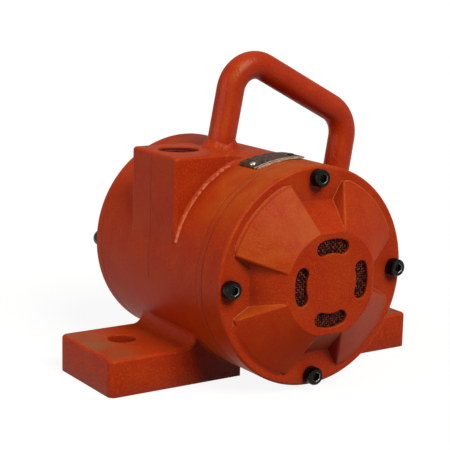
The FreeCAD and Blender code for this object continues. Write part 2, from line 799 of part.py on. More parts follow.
# Muffler behind the slots
def muffler_pad():
    """Turn the sound absorbing pad that fills the front cover."""
    made = body("muffler_pad")
    section = sketch(made, "MufflerSketch", "0", "XZ_Plane")
    low = PLATE_FRONT + " + muffler_gap"
    ledge = RIM_FACE + " - shoulder_wall - muffler_gap"
    top = SCREEN_BACK + " - muffler_gap"
    outline(section, [
        ("0", low),
        (BORE + " - muffler_gap", low),
        (BORE + " - muffler_gap", ledge),
        (SHOULDER_RADIUS + " - 2 * muffler_gap", ledge),
        (SLOT_REACH + " - muffler_gap", top),
        ("0", top),
    ])
    turn(made, section)


def exhaust_screen():
    """Punch the screen disc that shows through the slots."""
    made = body("exhaust_screen")
    disc = sketch(made, "ScreenSketch", SCREEN_BACK)
    circle(disc, SLOT_REACH + " - muffler_gap")
    pad(made, disc, "screen_thickness")
    holes = sketch(made, "ScreenHoleSketch", SCREEN_BACK)
    circle(holes, "screen_hole_radius", "0", "slot_circle + slot_half_width / 2")
    circle(holes, "screen_hole_radius", "0", "slot_circle - slot_half_width / 2")
    repeat(made, [cut(made, holes, "screen_thickness", along=True)], "screen_hole_count")


# Roller bearings
def ring_piece(name, section):
    """Turn a ring from its section, given as points of radius and height."""
    made = body(name)
    flat = sketch(made, name + "_sketch", "0", "XZ_Plane")
    outline(flat, section)
    turn(made, flat)
    return made


def bearing(end, start):
    """Make one bearing: outer ring with two ribs, plain inner ring, rollers and their cage."""
    stop = f"{start} + bearing_width"
    middle = f"({start} + bearing_width / 2)"
    half_race = "(roller_length / 2 + roller_play)"
    rib = "outer_race_radius - rib_height"
    ring_piece(end + "_bearing_outer_ring", [
        (rib, start),
        ("bearing_radius", start),
        ("bearing_radius", stop),
        (rib, stop),
        (rib, f"{middle} + {half_race}"),
        ("outer_race_radius", f"{middle} + {half_race}"),
        ("outer_race_radius", f"{middle} - {half_race}"),
        (rib, f"{middle} - {half_race}"),
    ])
    ring_piece(end + "_bearing_inner_ring", [
        ("journal_radius + rotor_fit", start),
        ("inner_race_radius", start),
        ("inner_race_radius", stop),
        ("journal_radius + rotor_fit", stop),
    ])
    rollers = body(end + "_bearing_rollers")
    flat = sketch(rollers, end + "_roller_sketch", f"{middle} - roller_length / 2")
    circle(flat, ROLLER_RADIUS, ROLLER_CIRCLE)
    repeat(rollers, [pad(rollers, flat, "roller_length")], "roller_count")
    cage = ring_piece(end + "_bearing_cage", [
        (f"{ROLLER_CIRCLE} - cage_thickness / 2", f"{middle} - cage_width / 2"),
        (f"{ROLLER_CIRCLE} + cage_thickness / 2", f"{middle} - cage_width / 2"),
        (f"{ROLLER_CIRCLE} + cage_thickness / 2", f"{middle} + cage_width / 2"),
        (f"{ROLLER_CIRCLE} - cage_thickness / 2", f"{middle} + cage_width / 2"),
    ])
    window = sketch(cage, end + "_window_sketch", f"{middle} + roller_length / 2 + cage_play")
    circle(window, f"{ROLLER_RADIUS} + cage_play", ROLLER_CIRCLE)
    repeat(cage, [cut(cage, window, "roller_length + 2 * cage_play")], "roller_count")


def preload_washer():
    """Turn the cone spring washer that loads the front bearing."""
    low = f"{BEARING_OUT}"
    high = f"{BEARING_OUT} + washer_height"
    ring_piece("preload_washer", [
        ("bearing_radius - 1", low),
        ("bearing_radius", low),
        ("bearing_radius", f"{low} + washer_thickness"),
        ("lip_radius + 3", high),
        ("lip_radius + 2", high),
        ("lip_radius + 2", f"{high} - washer_thickness"),
    ])


# Rotor
def rotor_shaft():
    """Turn the stepped shaft and mill its keyway."""
    groove = "shaft_radius - groove_depth"
    snap_end = f"{STACK_END} + snap_ring_thickness"
    made = ring_piece("rotor_shaft", [
        ("0", f"-({SHAFT_END})"),
        ("journal_radius - shaft_chamfer", f"-({SHAFT_END})"),
        ("journal_radius", f"-({SHAFT_END}) + shaft_chamfer"),
        ("journal_radius", f"-({BEARING_IN})"),
        ("shaft_radius", f"-({BEARING_IN})"),
        ("shaft_radius", f"-({STACK_END} + collar_width)"),
        ("collar_radius", f"-({STACK_END} + collar_width)"),
        ("collar_radius", f"-({STACK_END})"),
        ("shaft_radius", f"-({STACK_END})"),
        ("shaft_radius", STACK_END),
        (groove, STACK_END),
        (groove, snap_end),
        ("shaft_radius", snap_end),
        ("shaft_radius", BEARING_IN),
        ("journal_radius", BEARING_IN),
        ("journal_radius", f"{SHAFT_END} - shaft_chamfer"),
        ("journal_radius - shaft_chamfer", SHAFT_END),
        ("0", SHAFT_END),
    ])
    keyway = sketch(made, "KeywaySketch", f"-{KEY_FLOOR}", "XZ_Plane")
    rectangle(keyway, "-key_width / 2", f"-({STACK_END})", "key_width / 2", STACK_END)
    cut(made, keyway, "key_depth")


def cut_hub_keyway(owner, name, height, depth):
    """Cut the keyway in the bore of a piece that slides onto the shaft."""
    slot = sketch(owner, name, height)
    rectangle(slot, "-key_width / 2", KEY_FLOOR, "key_width / 2", f"{KEY_TOP} + rotor_fit")
    cut(owner, slot, depth)


def turbine_wheel():
    """Turn the wheel and mill its ring of buckets."""
    half = "wheel_width / 2"
    half_web = "wheel_web / 2"
    rim_bore = f"{WHEEL_RADIUS} - wheel_rim"
    made = ring_piece("turbine_wheel", [
        ("shaft_radius + rotor_fit", f"-{half}"),
        ("wheel_hub_radius", f"-{half}"),
        ("wheel_hub_radius", f"-{half_web}"),
        (rim_bore, f"-{half_web}"),
        (rim_bore, f"-{half}"),
        (WHEEL_RADIUS, f"-{half}"),
        (WHEEL_RADIUS, half),
        (rim_bore, half),
        (rim_bore, half_web),
        ("wheel_hub_radius", half_web),
        ("wheel_hub_radius", half),
        ("shaft_radius + rotor_fit", half),
    ])
    bucket = sketch(made, "BucketSketch", f"{half} - bucket_wall")
    half_mouth = "sqrt(bucket_radius^2 - bucket_lean^2)"
    outline(bucket, [
        ("bucket_lean", f"{PORT_RADIUS_OF_JET} - {half_mouth}"),
        ("bucket_lean", f"{PORT_RADIUS_OF_JET} + {half_mouth}"),
        ("-bucket_lean", f"{PORT_RADIUS_OF_JET} + {half_mouth}"),
        ("-bucket_lean", f"{PORT_RADIUS_OF_JET} - {half_mouth}"),
    ], {2: ("bucket_radius", 1)})
    repeat(made, [cut(made, bucket, "wheel_width - 2 * bucket_wall")], "bucket_count")
    cut_hub_keyway(made, "WheelKeywaySketch", half, "wheel_width")


def eccentric_weight(name, low):
    """Saw a half disc with a hub, which unbalances the rotor."""
    made = body(name)
    width = f"({STACK_END} - wheel_width / 2)"
    hub = sketch(made, name + "_hub", low)
    circle(hub, "weight_hub_radius")
    pad(made, hub, width)
    half_disc = sketch(made, name + "_half_disc", low)
    radius = f"({BORE} - weight_gap)"
    half_chord = f"sqrt({radius}^2 - weight_chord^2)"
    outline(half_disc, [(f"-{half_chord}", "-weight_chord"), (half_chord, "-weight_chord")], {0: (radius, 1)})
    pad(made, half_disc, width)
    high = f"{low} + {width}"
    bore = sketch(made, name + "_bore", high)
    circle(bore, "shaft_radius + rotor_fit")
    cut(made, bore, width)
    cut_hub_keyway(made, name + "_keyway", high, width)


def rotor_key():
    """Mill the long key that drives the weights and the wheel."""
    made = body("rotor_key")
    flat = sketch(made, "KeySketch", f"-({STACK_END}) + rotor_fit")
    rectangle(flat, "rotor_fit - key_width / 2", f"{KEY_FLOOR} + rotor_fit", "key_width / 2 - rotor_fit", KEY_TOP)
    pad(made, flat, f"2 * ({STACK_END} - rotor_fit)")


def rotor_snap_ring():
    """Punch the open ring that keeps the weights and the wheel on the shaft."""
    made = body("rotor_snap_ring")
    flat = sketch(made, "SnapRingSketch", STACK_END)
    circle(flat, "snap_ring_radius")
    circle(flat, "shaft_radius - groove_depth + rotor_fit")
    pad(made, flat, "snap_ring_thickness")
    opening = sketch(made, "SnapOpeningSketch", STACK_END)
    rectangle(opening, "-snap_ring_opening / 2", "0", "snap_ring_opening / 2", "snap_ring_radius + 1")
    cut(made, opening, "snap_ring_thickness", along=True)


def air_nozzle():
    """Turn the nozzle that stands in the passage below the port."""
    made = body("air_nozzle")
    made.Placement = FreeCAD.Placement()
    made.setExpression("Placement.Base.x", tied("-" + PORT_RADIUS_OF_JET))
    made.setExpression("Placement.Base.z", tied(AXIS_HEIGHT))
    flat = sketch(made, "NozzleSketch", "0", "XZ_Plane")
    outline(flat, [
        ("throat_radius", f"{PORT_FLOOR} - nozzle_length"),
        ("nozzle_radius - seat_gap", f"{PORT_FLOOR} - nozzle_length"),
        ("nozzle_radius - seat_gap", PORT_FLOOR),
        ("nozzle_mouth_radius", PORT_FLOOR),
        ("throat_radius", f"{PORT_FLOOR} - nozzle_mouth_depth"),
    ])
    turn(made, flat)


# Carrying handle: a bent round bar, welded to the barrel at both ends
def handle_path(flat, corners, bends):
    """Draw straight runs through the corners, joined by tangent bends."""
    points = [place(corner) for corner in corners]
    runs = []
    start = points[0]
    arcs = []
    for index, bend in enumerate(bends, 1):
        corner = points[index]
        arriving = (corner - points[index - 1]).normalize()
        leaving = (points[index + 1] - corner).normalize()
        radius = number(bend)
        setback = radius * math.tan(arriving.getAngle(leaving) / 2)
        bend_start = corner - arriving * setback
        bend_end = corner + leaving * setback
        runs.append(flat.addGeometry(Part.LineSegment(start, bend_start)))
        arcs.append(flat.addGeometry(arc_between(bend_start, bend_end, radius, -1)))
        start = bend_end
    runs.append(flat.addGeometry(Part.LineSegment(start, points[-1])))
    hold_point(flat, (runs[0], 1), corners[0])
    hold_point(flat, (runs[-1], 2), corners[-1])
    for index, bend in enumerate(bends):
        flat.addConstraint(Sketcher.Constraint("Tangent", runs[index], 2, arcs[index], 2))
        flat.addConstraint(Sketcher.Constraint("Tangent", arcs[index], 1, runs[index + 1], 1))
        hold(flat, "Radius", (arcs[index],), bend)
        marker = flat.addGeometry(Part.Point(points[index + 1]), True)
        hold_point(flat, (marker, 1), corners[index + 1])
        flat.addConstraint(Sketcher.Constraint("PointOnObject", marker, 1, runs[index]))
        flat.addConstraint(Sketcher.Constraint("PointOnObject", marker, 1, runs[index + 1]))


def carry_handle():
    """Bend the bar, weld both its ends to the barrel and trim them to it."""
    made = body("carry_handle")
    lean = "atan((handle_foot_left - handle_crown_left) / handle_crown_rise)"
    foot_x = f"(-handle_foot_left - handle_trim * tan({lean}))"
    foot_y = f"({BOSS_TOP} - handle_trim)"
    corners = [
        (foot_x, foot_y),
        ("-handle_crown_left", f"{BOSS_TOP} + handle_crown_rise"),
        ("barrel_radius + handle_shoulder_out", f"{BOSS_TOP} + handle_shoulder_rise"),
        ("barrel_radius + handle_end_out", "-handle_end_drop"),
    ]
    path = sketch(made, "HandlePath")
    handle_path(path, corners, ["handle_crown_bend", "handle_shoulder_bend"])
    section = sketch(made, "HandleSection", "-" + foot_y, "XZ_Plane")
    tilt = FreeCAD.Rotation(FreeCAD.Vector(0, 1, 0), -number(lean))
    section.AttachmentOffset = FreeCAD.Placement(FreeCAD.Vector(), tilt)
    section.setExpression("AttachmentOffset.Base.x", tied(foot_x))
    circle(section, "handle_radius")
    doc.recompute()
    bar = made.newObject("PartDesign::AdditivePipe", "HandleBar")
    bar.Profile = section
    bar.Spine = (path, [])
    reach = "3 * handle_radius"
    core = sketch(made, "HandleCore", f"-{reach}")
    circle(core, "barrel_radius")
    pad(made, core, f"2 * {reach}")
    radius = number("barrel_radius")
    core_end = number(reach)

    def weld_edge(edge):
        middle = middle_of(edge)
        on_core = abs(math.hypot(middle.x, middle.y) - radius) < 0.02 and abs(middle.z) < core_end - 0.01
        return on_core and edge.Curve.TypeId != "Part::GeomLine"

    dress(made, "Chamfer", chosen_edges(made, weld_edge), "weld_width")
    saddle = sketch(made, "SaddleSketch", reach)
    circle(saddle, "barrel_radius")
    cut(made, saddle, f"2 * {reach}")
    beside = sketch(made, "BesideBossSketch", reach)
    rectangle(beside, "-barrel_radius", "0", f"-({BOSS_INNER} - boss_cove)", BOSS_TOP)
    cut(made, beside, f"2 * {reach}")


# Nameplate, left bare, and its rivets
def nameplate():
    """Roll the thin plate to its own bow, so that its ends spring clear of the barrel."""
    made = body("nameplate")
    right_end = number("90 + nameplate_touch_angle - nameplate_right_angle")
    along_axis = FreeCAD.Rotation(FreeCAD.Vector(0, 0, 1), right_end)
    frame = made.Placement.Rotation
    made.setExpression("Placement.Base.z", None)
    made.Placement = FreeCAD.Placement(
        FreeCAD.Vector(0, 0, number(AXIS_HEIGHT)) + frame.multVec(bow_centre()), frame.multiply(along_axis))
    flat = sketch(made, "NameplateSketch", "0", "XZ_Plane")
    rectangle(flat, "nameplate_radius", NAMEPLATE_REAR, "nameplate_radius + nameplate_thickness", NAMEPLATE_FRONT)
    turn(made, flat, "nameplate_left_angle + nameplate_right_angle")

    def corner(edge):
        return edge.Curve.TypeId == "Part::GeomLine" and near(edge.Length, "nameplate_thickness")

    dress(made, "Fillet", chosen_edges(made, corner), "nameplate_corner")
    to_plate = FreeCAD.Placement(bow_centre(), along_axis).inverse()
    for angle in rivet_angles():
        hole = made.newObject("PartDesign::SubtractiveCylinder", "NameplateHole")
        hole.setExpression("Radius", tied("rivet_radius + rotor_fit"))
        hole.setExpression("Height", tied("3 * nameplate_thickness"))
        hole.Placement = to_plate.multiply(rivet_placement(angle, number("nameplate_radius - nameplate_thickness")))


def nameplate_rivets():
    """Make the two drive rivets."""
    made = body("nameplate_rivets")
    for angle in rivet_angles():
        shank = made.newObject("PartDesign::AdditiveCylinder", "RivetShank")
        shank.setExpression("Radius", tied("rivet_radius"))
        shank.setExpression("Height", tied("rivet_length + nameplate_thickness"))
        shank.Placement = rivet_placement(angle, number("nameplate_radius - rivet_length"))
        head = made.newObject("PartDesign::AdditiveCone", "RivetHead")
        head.setExpression("Radius1", tied("rivet_head_radius"))
        head.setExpression("Radius2", tied("rivet_crown_radius"))
        head.setExpression("Height", tied("rivet_head_height"))
        head.Placement = rivet_placement(angle, number("nameplate_radius + nameplate_thickness"))


main_housing()
front_cover()
rear_cover()
front_bearing_plate()
flat_gasket("front_cover_gasket", PLATE_FRONT)
flat_gasket("bearing_plate_gasket", BARREL_END)
flat_gasket("rear_cover_gasket", REAR_BACK)
cover_screws("front_cover_screws", RIM_FACE, "thread_reach + 2 * gasket + plate_rim + cover_skirt", True)
cover_screws("rear_cover_screws", REAR_RIM, "thread_reach + gasket + rear_flange", False)
muffler_pad()
exhaust_screen()
bearing("front", BEARING_IN)
bearing("rear", f"-({BEARING_OUT})")
preload_washer()
rotor_shaft()
turbine_wheel()
eccentric_weight("front_eccentric_weight", "wheel_width / 2")
eccentric_weight("rear_eccentric_weight", f"-({STACK_END})")
rotor_key()
rotor_snap_ring()
air_nozzle()
carry_handle()
nameplate()
nameplate_rivets()
doc.recompute()

# Every feature has to be sound before a piece is written
for feature in doc.Objects:
    if "Invalid" in feature.State or "Error" in feature.State:
        raise RuntimeError(f"{feature.Name} failed: {feature.State}")
for piece in pieces:
    if piece.Shape.isNull() or not piece.Shape.isValid() or not piece.Shape.Solids:
        raise RuntimeError(f"{piece.Label} has no sound solid")

os.makedirs("parts", exist_ok=True)
for piece in pieces:
    piece.Shape.exportStep(f"parts/{piece.Label}.step")
    print(f"{piece.Label}: {len(piece.Shape.Solids)} solids, {piece.Shape.Volume / 1000:.1f} cm3")
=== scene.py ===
# %% [markdown]
# # A turbine vibration motor in its orange enamel
#
# The machine is a cast iron barrel on two feet, closed by a lobed exhaust cover and lifted by a bent
# handle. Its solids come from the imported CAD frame. This file gives them their finishes, adds the small
# things that CAD leaves plain, and sets up the studio and the camera.

# %% Load the frame
import math

import bpy
from mathutils import Matrix, Vector, noise


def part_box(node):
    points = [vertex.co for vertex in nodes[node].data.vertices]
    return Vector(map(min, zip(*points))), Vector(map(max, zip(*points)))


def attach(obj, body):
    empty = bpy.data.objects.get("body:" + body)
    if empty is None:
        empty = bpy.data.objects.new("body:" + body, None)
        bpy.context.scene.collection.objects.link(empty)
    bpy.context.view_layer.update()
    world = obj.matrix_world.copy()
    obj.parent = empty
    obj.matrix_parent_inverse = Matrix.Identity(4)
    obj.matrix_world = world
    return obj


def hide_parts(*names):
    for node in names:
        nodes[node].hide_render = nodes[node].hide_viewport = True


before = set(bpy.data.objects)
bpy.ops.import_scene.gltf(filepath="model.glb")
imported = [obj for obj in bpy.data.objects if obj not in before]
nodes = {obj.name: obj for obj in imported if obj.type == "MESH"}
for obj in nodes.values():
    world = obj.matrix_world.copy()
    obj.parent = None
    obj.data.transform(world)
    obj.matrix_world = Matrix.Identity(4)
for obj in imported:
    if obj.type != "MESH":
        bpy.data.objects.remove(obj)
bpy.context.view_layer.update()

# %% [markdown]
# ## Measures that the rest hangs on
#
# Blender works in metres here, so one small constant turns millimetres into them. The rotor's axis runs
# along Y, and the turbine wheel is centred on it, so the wheel's box gives the axis height without a typed
# number.

# %% Read the axis and the barrel from the frame
MM = 0.001
wheel_low, wheel_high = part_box("turbine_wheel")
axis_height = (wheel_low.z + wheel_high.z) / 2
plate_low, plate_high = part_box("front_bearing_plate")
barrel_radius = (plate_high.x - plate_low.x) / 2
print(f"axis {axis_height / MM:.1f} mm up, barrel radius {barrel_radius / MM:.1f} mm")

# %% [markdown]
# ## The camera
#
# The camera was solved from the photograph: the ellipses of the cover's rim, the feet and the screws fix
# where it stood. It looks at the machine from the left of the front, a little from above, with a long lens
# and a slight roll. Building the matrix from the view's own right, up and back keeps that roll exact.

# %% Place the camera
AZIMUTH = math.radians(33.4327)
ELEVATION = math.radians(11.7869)
ROLL = math.radians(1.3341)
DISTANCE = 950.5 * MM
AIM = Vector((-77.47, -100.0, 131.2)) * MM
LENS = 110.98
SENSOR_WIDTH = 36

back = Vector((-math.sin(AZIMUTH) * math.cos(ELEVATION), -math.cos(AZIMUTH) * math.cos(ELEVATION),
               math.sin(ELEVATION)))
level_right = Vector((math.cos(AZIMUTH), -math.sin(AZIMUTH), 0))
level_up = back.cross(level_right)
right = level_right * math.cos(ROLL) + level_up * math.sin(ROLL)
up = level_up * math.cos(ROLL) - level_right * math.sin(ROLL)

camera_data = bpy.data.cameras.new("studio_camera")
camera_data.sensor_width = SENSOR_WIDTH
camera_data.lens = LENS
camera = bpy.data.objects.new("studio_camera", camera_data)
turned = Matrix((right, up, back)).transposed().to_4x4()
camera.matrix_world = Matrix.Translation(AIM + back * DISTANCE) @ turned
bpy.context.scene.collection.objects.link(camera)
bpy.context.scene.camera = camera
print("camera at", [round(value, 3) for value in camera.matrix_world.translation])

# %% [markdown]
# ## Helpers for materials
#
# Colours are easiest to pick as the hex values that a paint chart or a screen shows, but shaders mix light
# in linear values, so one function turns the first into the second. The next adds a node to a material: its
# settings are the node's own properties, and each input takes a value or the socket that feeds it. Two more
# start an empty material and turn a pattern's real size into a texture's scale.

# %% Define the material helpers
def linear(hex_colour):
    """Turn an sRGB hex colour into the linear colour that a shader wants."""
    channels = [int(hex_colour[place:place + 2], 16) / 255 for place in (1, 3, 5)]
    return [c / 12.92 if c <= 0.04045 else ((c + 0.055) / 1.055) ** 2.4 for c in channels] + [1.0]


def add_node(tree, kind, inputs=None, **settings):
    """Add a node, set its properties, and fill or link its inputs."""
    node = tree.nodes.new(kind)
    for name, value in settings.items():
        setattr(node, name, value)
    for name, value in (inputs or {}).items():
        if isinstance(value, bpy.types.NodeSocket):
            tree.links.new(value, node.inputs[name])
        else:
            node.inputs[name].default_value = value
    return node


def new_material(name):
    """Start a material with an empty node tree."""
    material = bpy.data.materials.new(name)
    material.use_nodes = True
    material.node_tree.nodes.clear()
    return material, material.node_tree


def per_metre(millimetres):
    """Give the texture scale that repeats once in so many millimetres."""
    return 1000 / millimetres


print("linear value of a mid grey:", round(linear("#808080")[0], 3))

# %% [markdown]
# ## Orange enamel on sand cast iron
#
# The castings come out of a sand mould, so their skin is grainy, with grains of a millimetre or two, and
# the enamel is sprayed over it in one coat. Its colour is mixed in layers, one small function each. The
# first layer is the coat: a slow noise shifts it between thick and thin, and a noise at grain size paints
# the crests of the grain paler, a painted highlight for the light they catch. Faces that look down keep
# their crests red, because the light from above doesn't fall on them.

# %% Colour the coat
ENAMEL_THICK = "#A52606"
ENAMEL_THIN = "#AE360A"
ENAMEL_CREST_GLINT = "#C65826"
LOOKS_DOWN = -0.4
LOOKS_OUT = -0.1


def coat_colour(tree, coat, grain, level, crest_glint):
    """Mix the coat from thick to thin, with the grain's crests painted paler as a painted highlight."""
    thinness = add_node(tree, "ShaderNodeMapRange", {
        "Value": coat.outputs["Fac"], "From Min": 0.3, "From Max": 0.7})
    sprayed = add_node(tree, "ShaderNodeMix", {
        0: thinness.outputs[0], 6: linear(ENAMEL_THICK), 7: linear(ENAMEL_THIN)}, data_type="RGBA")
    # The paler crests are a painted highlight, left off faces that look down.
    glinting = add_node(tree, "ShaderNodeMapRange", {
        "Value": level.outputs["Z"], "From Min": LOOKS_DOWN, "From Max": LOOKS_OUT, "To Max": crest_glint})
    crest = add_node(tree, "ShaderNodeMapRange", {
        "Value": grain.outputs["Fac"], "From Min": 0.5, "From Max": 0.75, "To Max": glinting.outputs[0]})
    grained = add_node(tree, "ShaderNodeMix", {
        0: crest.outputs[0], 6: sprayed.outputs[2], 7: linear(ENAMEL_CREST_GLINT)}, data_type="RGBA")
    return grained.outputs[2]


print("the coat goes from", ENAMEL_THICK, "to", ENAMEL_THIN)

# %% [markdown]
# ## Painted sheen, golden and grey
#
# A golden painted sheen lies on faces that look to the front, up and left, where they catch the light, and
# on the front of the barrel's top. A grey painted sheen lies on the level tops of the feet, at their open
# ends. A dot product tells how squarely a face looks along the sheen's direction, a Map Range turns that
# into an amount, and the slow noise keeps both layers patchy.

# %% Paint the sheen on the coat
ENAMEL_PAINTED_SHEEN = "#B4601C"
SHEEN_FACING = (-0.40, -0.82, 0.41)
SHEEN_TOP_FACING = (-0.35, 0.0, 0.94)
SHEEN_FRONT_FROM = -42 * MM
SHEEN_FRONT_FADE = 14 * MM
GREY_SHEEN = "#64613F"
GREY_SHEEN_FROM = 100 * MM
GREY_SHEEN_FULL = 124 * MM


def painted_sheen(tree, colour, normal, spot, patchy):
    """Paint a golden sheen on the faces that catch the light."""
    to_sheen = add_node(tree, "ShaderNodeVectorMath", {0: normal, 1: SHEEN_FACING}, operation="DOT_PRODUCT")
    sheen_side = add_node(tree, "ShaderNodeMapRange", {
        "Value": to_sheen.outputs["Value"], "From Min": 0.91, "From Max": 0.985, "To Max": patchy.outputs[0]})
    to_top = add_node(tree, "ShaderNodeVectorMath", {0: normal, 1: SHEEN_TOP_FACING}, operation="DOT_PRODUCT")
    forward = add_node(tree, "ShaderNodeMapRange", {
        "Value": spot.outputs["Y"], "From Min": SHEEN_FRONT_FROM, "From Max": SHEEN_FRONT_FROM - SHEEN_FRONT_FADE,
        "To Max": patchy.outputs[0]})
    sheen_top = add_node(tree, "ShaderNodeMapRange", {
        "Value": to_top.outputs["Value"], "From Min": 0.75, "From Max": 0.97, "To Max": forward.outputs[0]})
    sheen_all = add_node(tree, "ShaderNodeMath", {0: sheen_side.outputs[0], 1: sheen_top.outputs[0]}, operation="MAXIMUM")
    sheened = add_node(tree, "ShaderNodeMix", {
        0: sheen_all.outputs[0], 6: colour, 7: linear(ENAMEL_PAINTED_SHEEN)}, data_type="RGBA")
    return sheened.outputs[2]


def painted_grey_sheen(tree, colour, level, spot, patchy):
    """Paint a grey sheen on the level faces that lie far out to the sides."""
    from_side = add_node(tree, "ShaderNodeMath", {0: spot.outputs["X"]}, operation="ABSOLUTE")
    far_out = add_node(tree, "ShaderNodeMapRange", {
        "Value": from_side.outputs[0], "From Min": GREY_SHEEN_FROM, "From Max": GREY_SHEEN_FULL,
        "To Max": patchy.outputs[0]})
    grey_sheen_amount = add_node(tree, "ShaderNodeMapRange", {
        "Value": level.outputs["Z"], "From Min": 0.95, "From Max": 0.99, "To Max": far_out.outputs[0]})
    grey_sheened = add_node(tree, "ShaderNodeMix", {
        0: grey_sheen_amount.outputs[0], 6: colour, 7: linear(GREY_SHEEN)}, data_type="RGBA")
    return grey_sheened.outputs[2]


# The grey on the feet's outer tops is a painted sheen.
print("dust lies more than", round(GREY_SHEEN_FROM / MM), "mm from the middle")

# %% [markdown]
# ## Painted shade in the corners, wear and painted highlights at the edges
#
# Paint thins where it flows off sharp edges. Corners are painted darker and redder, a painted shade where
# less light reaches, and edges are painted lighter, partly for that wear and partly as a painted highlight.
# Ambient Occlusion finds the corners. The Bevel node gives a rounded normal close to an edge, so an edge is
# where that normal parts from the face's own. The joints near both ends are left out, because the paint
# bridges them.

# %% Darken the corners and pale the edges
ENAMEL_CORNER_SHADE = "#5E1406"
ENAMEL_WORN_EDGE_HIGHLIGHT = "#D67C4A"
JOINTS_AT = 74 * MM
JOINTS_REACH = 5.5 * MM


def painted_corner_shade(tree, colour, corner):
    """Paint shade into the corners, darker and redder."""
    # Ambient Occlusion sets how much painted shade a corner gets.
    depth = add_node(tree, "ShaderNodeMapRange", {
        "Value": corner.outputs["AO"], "From Min": 0.3, "From Max": 0.88, "To Min": 0.6, "To Max": 0.0})
    shaded_corner = add_node(tree, "ShaderNodeMix", {
        0: depth.outputs[0], 6: colour, 7: linear(ENAMEL_CORNER_SHADE)}, data_type="RGBA")
    return shaded_corner.outputs[2]


def worn_and_highlit_edges(tree, colour, rounded, normal, spot):
    """Lighten the edges, for wear and as a painted highlight, but not at the joints."""
    match = add_node(tree, "ShaderNodeVectorMath", {0: rounded.outputs[0], 1: normal}, operation="DOT_PRODUCT")
    # The paler edge is partly wear and partly a painted highlight.
    edge = add_node(tree, "ShaderNodeMapRange", {
        "Value": match.outputs["Value"], "From Min": 0.98, "From Max": 0.88, "To Min": 0.0, "To Max": 0.5})
    from_middle = add_node(tree, "ShaderNodeMath", {0: spot.outputs["Y"]}, operation="ABSOLUTE")
    bridged = add_node(tree, "ShaderNodeMath", {
        0: from_middle.outputs[0], 1: JOINTS_AT, 2: JOINTS_REACH}, operation="COMPARE")
    edge_wear_and_highlight = add_node(tree, "ShaderNodeMath", {
        0: edge.outputs[0], 1: bridged.outputs[0]}, operation="SUBTRACT", use_clamp=True)
    highlit_edge = add_node(tree, "ShaderNodeMix", {
        0: edge_wear_and_highlight.outputs[0], 6: colour, 7: linear(ENAMEL_WORN_EDGE_HIGHLIGHT)}, data_type="RGBA")
    return highlit_edge.outputs[2]


print("edges stay orange within", JOINTS_REACH / MM, "mm of", round(JOINTS_AT / MM), "mm from the middle")

# %% [markdown]
# ## The finished enamel
#
# The enamel is satin, with a thin glossy skin, which the Coat inputs give: it is strongest where the paint
# lies thick, so the coves catch a streak of light. A little golden sheen stands for the dust that shows at
# a flat angle. The grain also drives the bump, which is weaker on faces that look down. The handle is drawn
# bar, so its enamel has a coarser ripple, fainter painted highlights on the crests and more gloss.

# %% Mix the enamel
ENAMEL_SHEEN = "#E0A850"
COAT_PATCH_MM = 24
CORNER_REACH = 22 * MM
EDGE_ROUND = 1.3 * MM


def enamel(name, grain_mm, grain_height_mm, crest_glint, gloss_skin):
    """Make sprayed enamel, a satin dielectric, over a cast or drawn skin."""
    material, tree = new_material(name)
    place = add_node(tree, "ShaderNodeTexCoord").outputs["Object"]
    spot = add_node(tree, "ShaderNodeSeparateXYZ", {0: place})
    normal = add_node(tree, "ShaderNodeNewGeometry").outputs["Normal"]
    level = add_node(tree, "ShaderNodeSeparateXYZ", {0: normal})
    grain = add_node(tree, "ShaderNodeTexNoise", {
        "Vector": place, "Scale": per_metre(grain_mm), "Detail": 2.0, "Roughness": 0.6})
    coat = add_node(tree, "ShaderNodeTexNoise", {
        "Vector": place, "Scale": per_metre(COAT_PATCH_MM), "Detail": 5.0, "Roughness": 0.6,
        "Distortion": 0.4})
    patchy = add_node(tree, "ShaderNodeMapRange", {
        "Value": coat.outputs["Fac"], "From Min": 0.35, "From Max": 0.65, "To Min": 0.12, "To Max": 0.5})
    corner = add_node(tree, "ShaderNodeAmbientOcclusion", {"Distance": CORNER_REACH}, samples=8)
    rounded = add_node(tree, "ShaderNodeBevel", {"Radius": EDGE_ROUND}, samples=8)
    colour = coat_colour(tree, coat, grain, level, crest_glint)
    colour = painted_sheen(tree, colour, normal, spot, patchy)
    colour = painted_corner_shade(tree, colour, corner)
    colour = painted_grey_sheen(tree, colour, level, spot, patchy)
    colour = worn_and_highlit_edges(tree, colour, rounded, normal, spot)
    gloss = add_node(tree, "ShaderNodeMapRange", {
        "Value": grain.outputs["Fac"], "From Min": 0.3, "From Max": 0.7, "To Min": 0.42, "To Max": 0.58})
    skin = add_node(tree, "ShaderNodeMapRange", {
        "Value": corner.outputs["AO"], "From Min": 0.8, "From Max": 0.5, "To Min": gloss_skin, "To Max": 0.2})
    sharp = add_node(tree, "ShaderNodeMapRange", {
        "Value": level.outputs["Z"], "From Min": LOOKS_DOWN, "From Max": LOOKS_OUT,
        "To Min": 0.4, "To Max": 1.0})
    bump = add_node(tree, "ShaderNodeBump", {
        "Height": grain.outputs["Fac"], "Distance": grain_height_mm * MM, "Strength": sharp.outputs[0],
        "Normal": rounded.outputs[0]})
    shader = add_node(tree, "ShaderNodeBsdfPrincipled", {
        "Base Color": colour, "Roughness": gloss.outputs[0], "IOR": 1.5, "Specular IOR Level": 0.05,
        "Coat Weight": skin.outputs[0], "Coat Roughness": 0.22, "Normal": bump.outputs[0],
        "Coat Normal": bump.outputs[0], "Sheen Weight": 0.1, "Sheen Roughness": 0.4,
        "Sheen Tint": linear(ENAMEL_SHEEN)})
    add_node(tree, "ShaderNodeOutputMaterial", {"Surface": shader.outputs[0]})
    return material


cast_enamel = enamel("orange_enamel_on_sand_cast_iron", 1.1, 0.42, 0.5, 0.06)
bar_enamel = enamel("orange_enamel_on_drawn_steel_bar", 2.2, 0.45, 0.2, 0.18)
print("enamels:", cast_enamel.name, "and", bar_enamel.name)

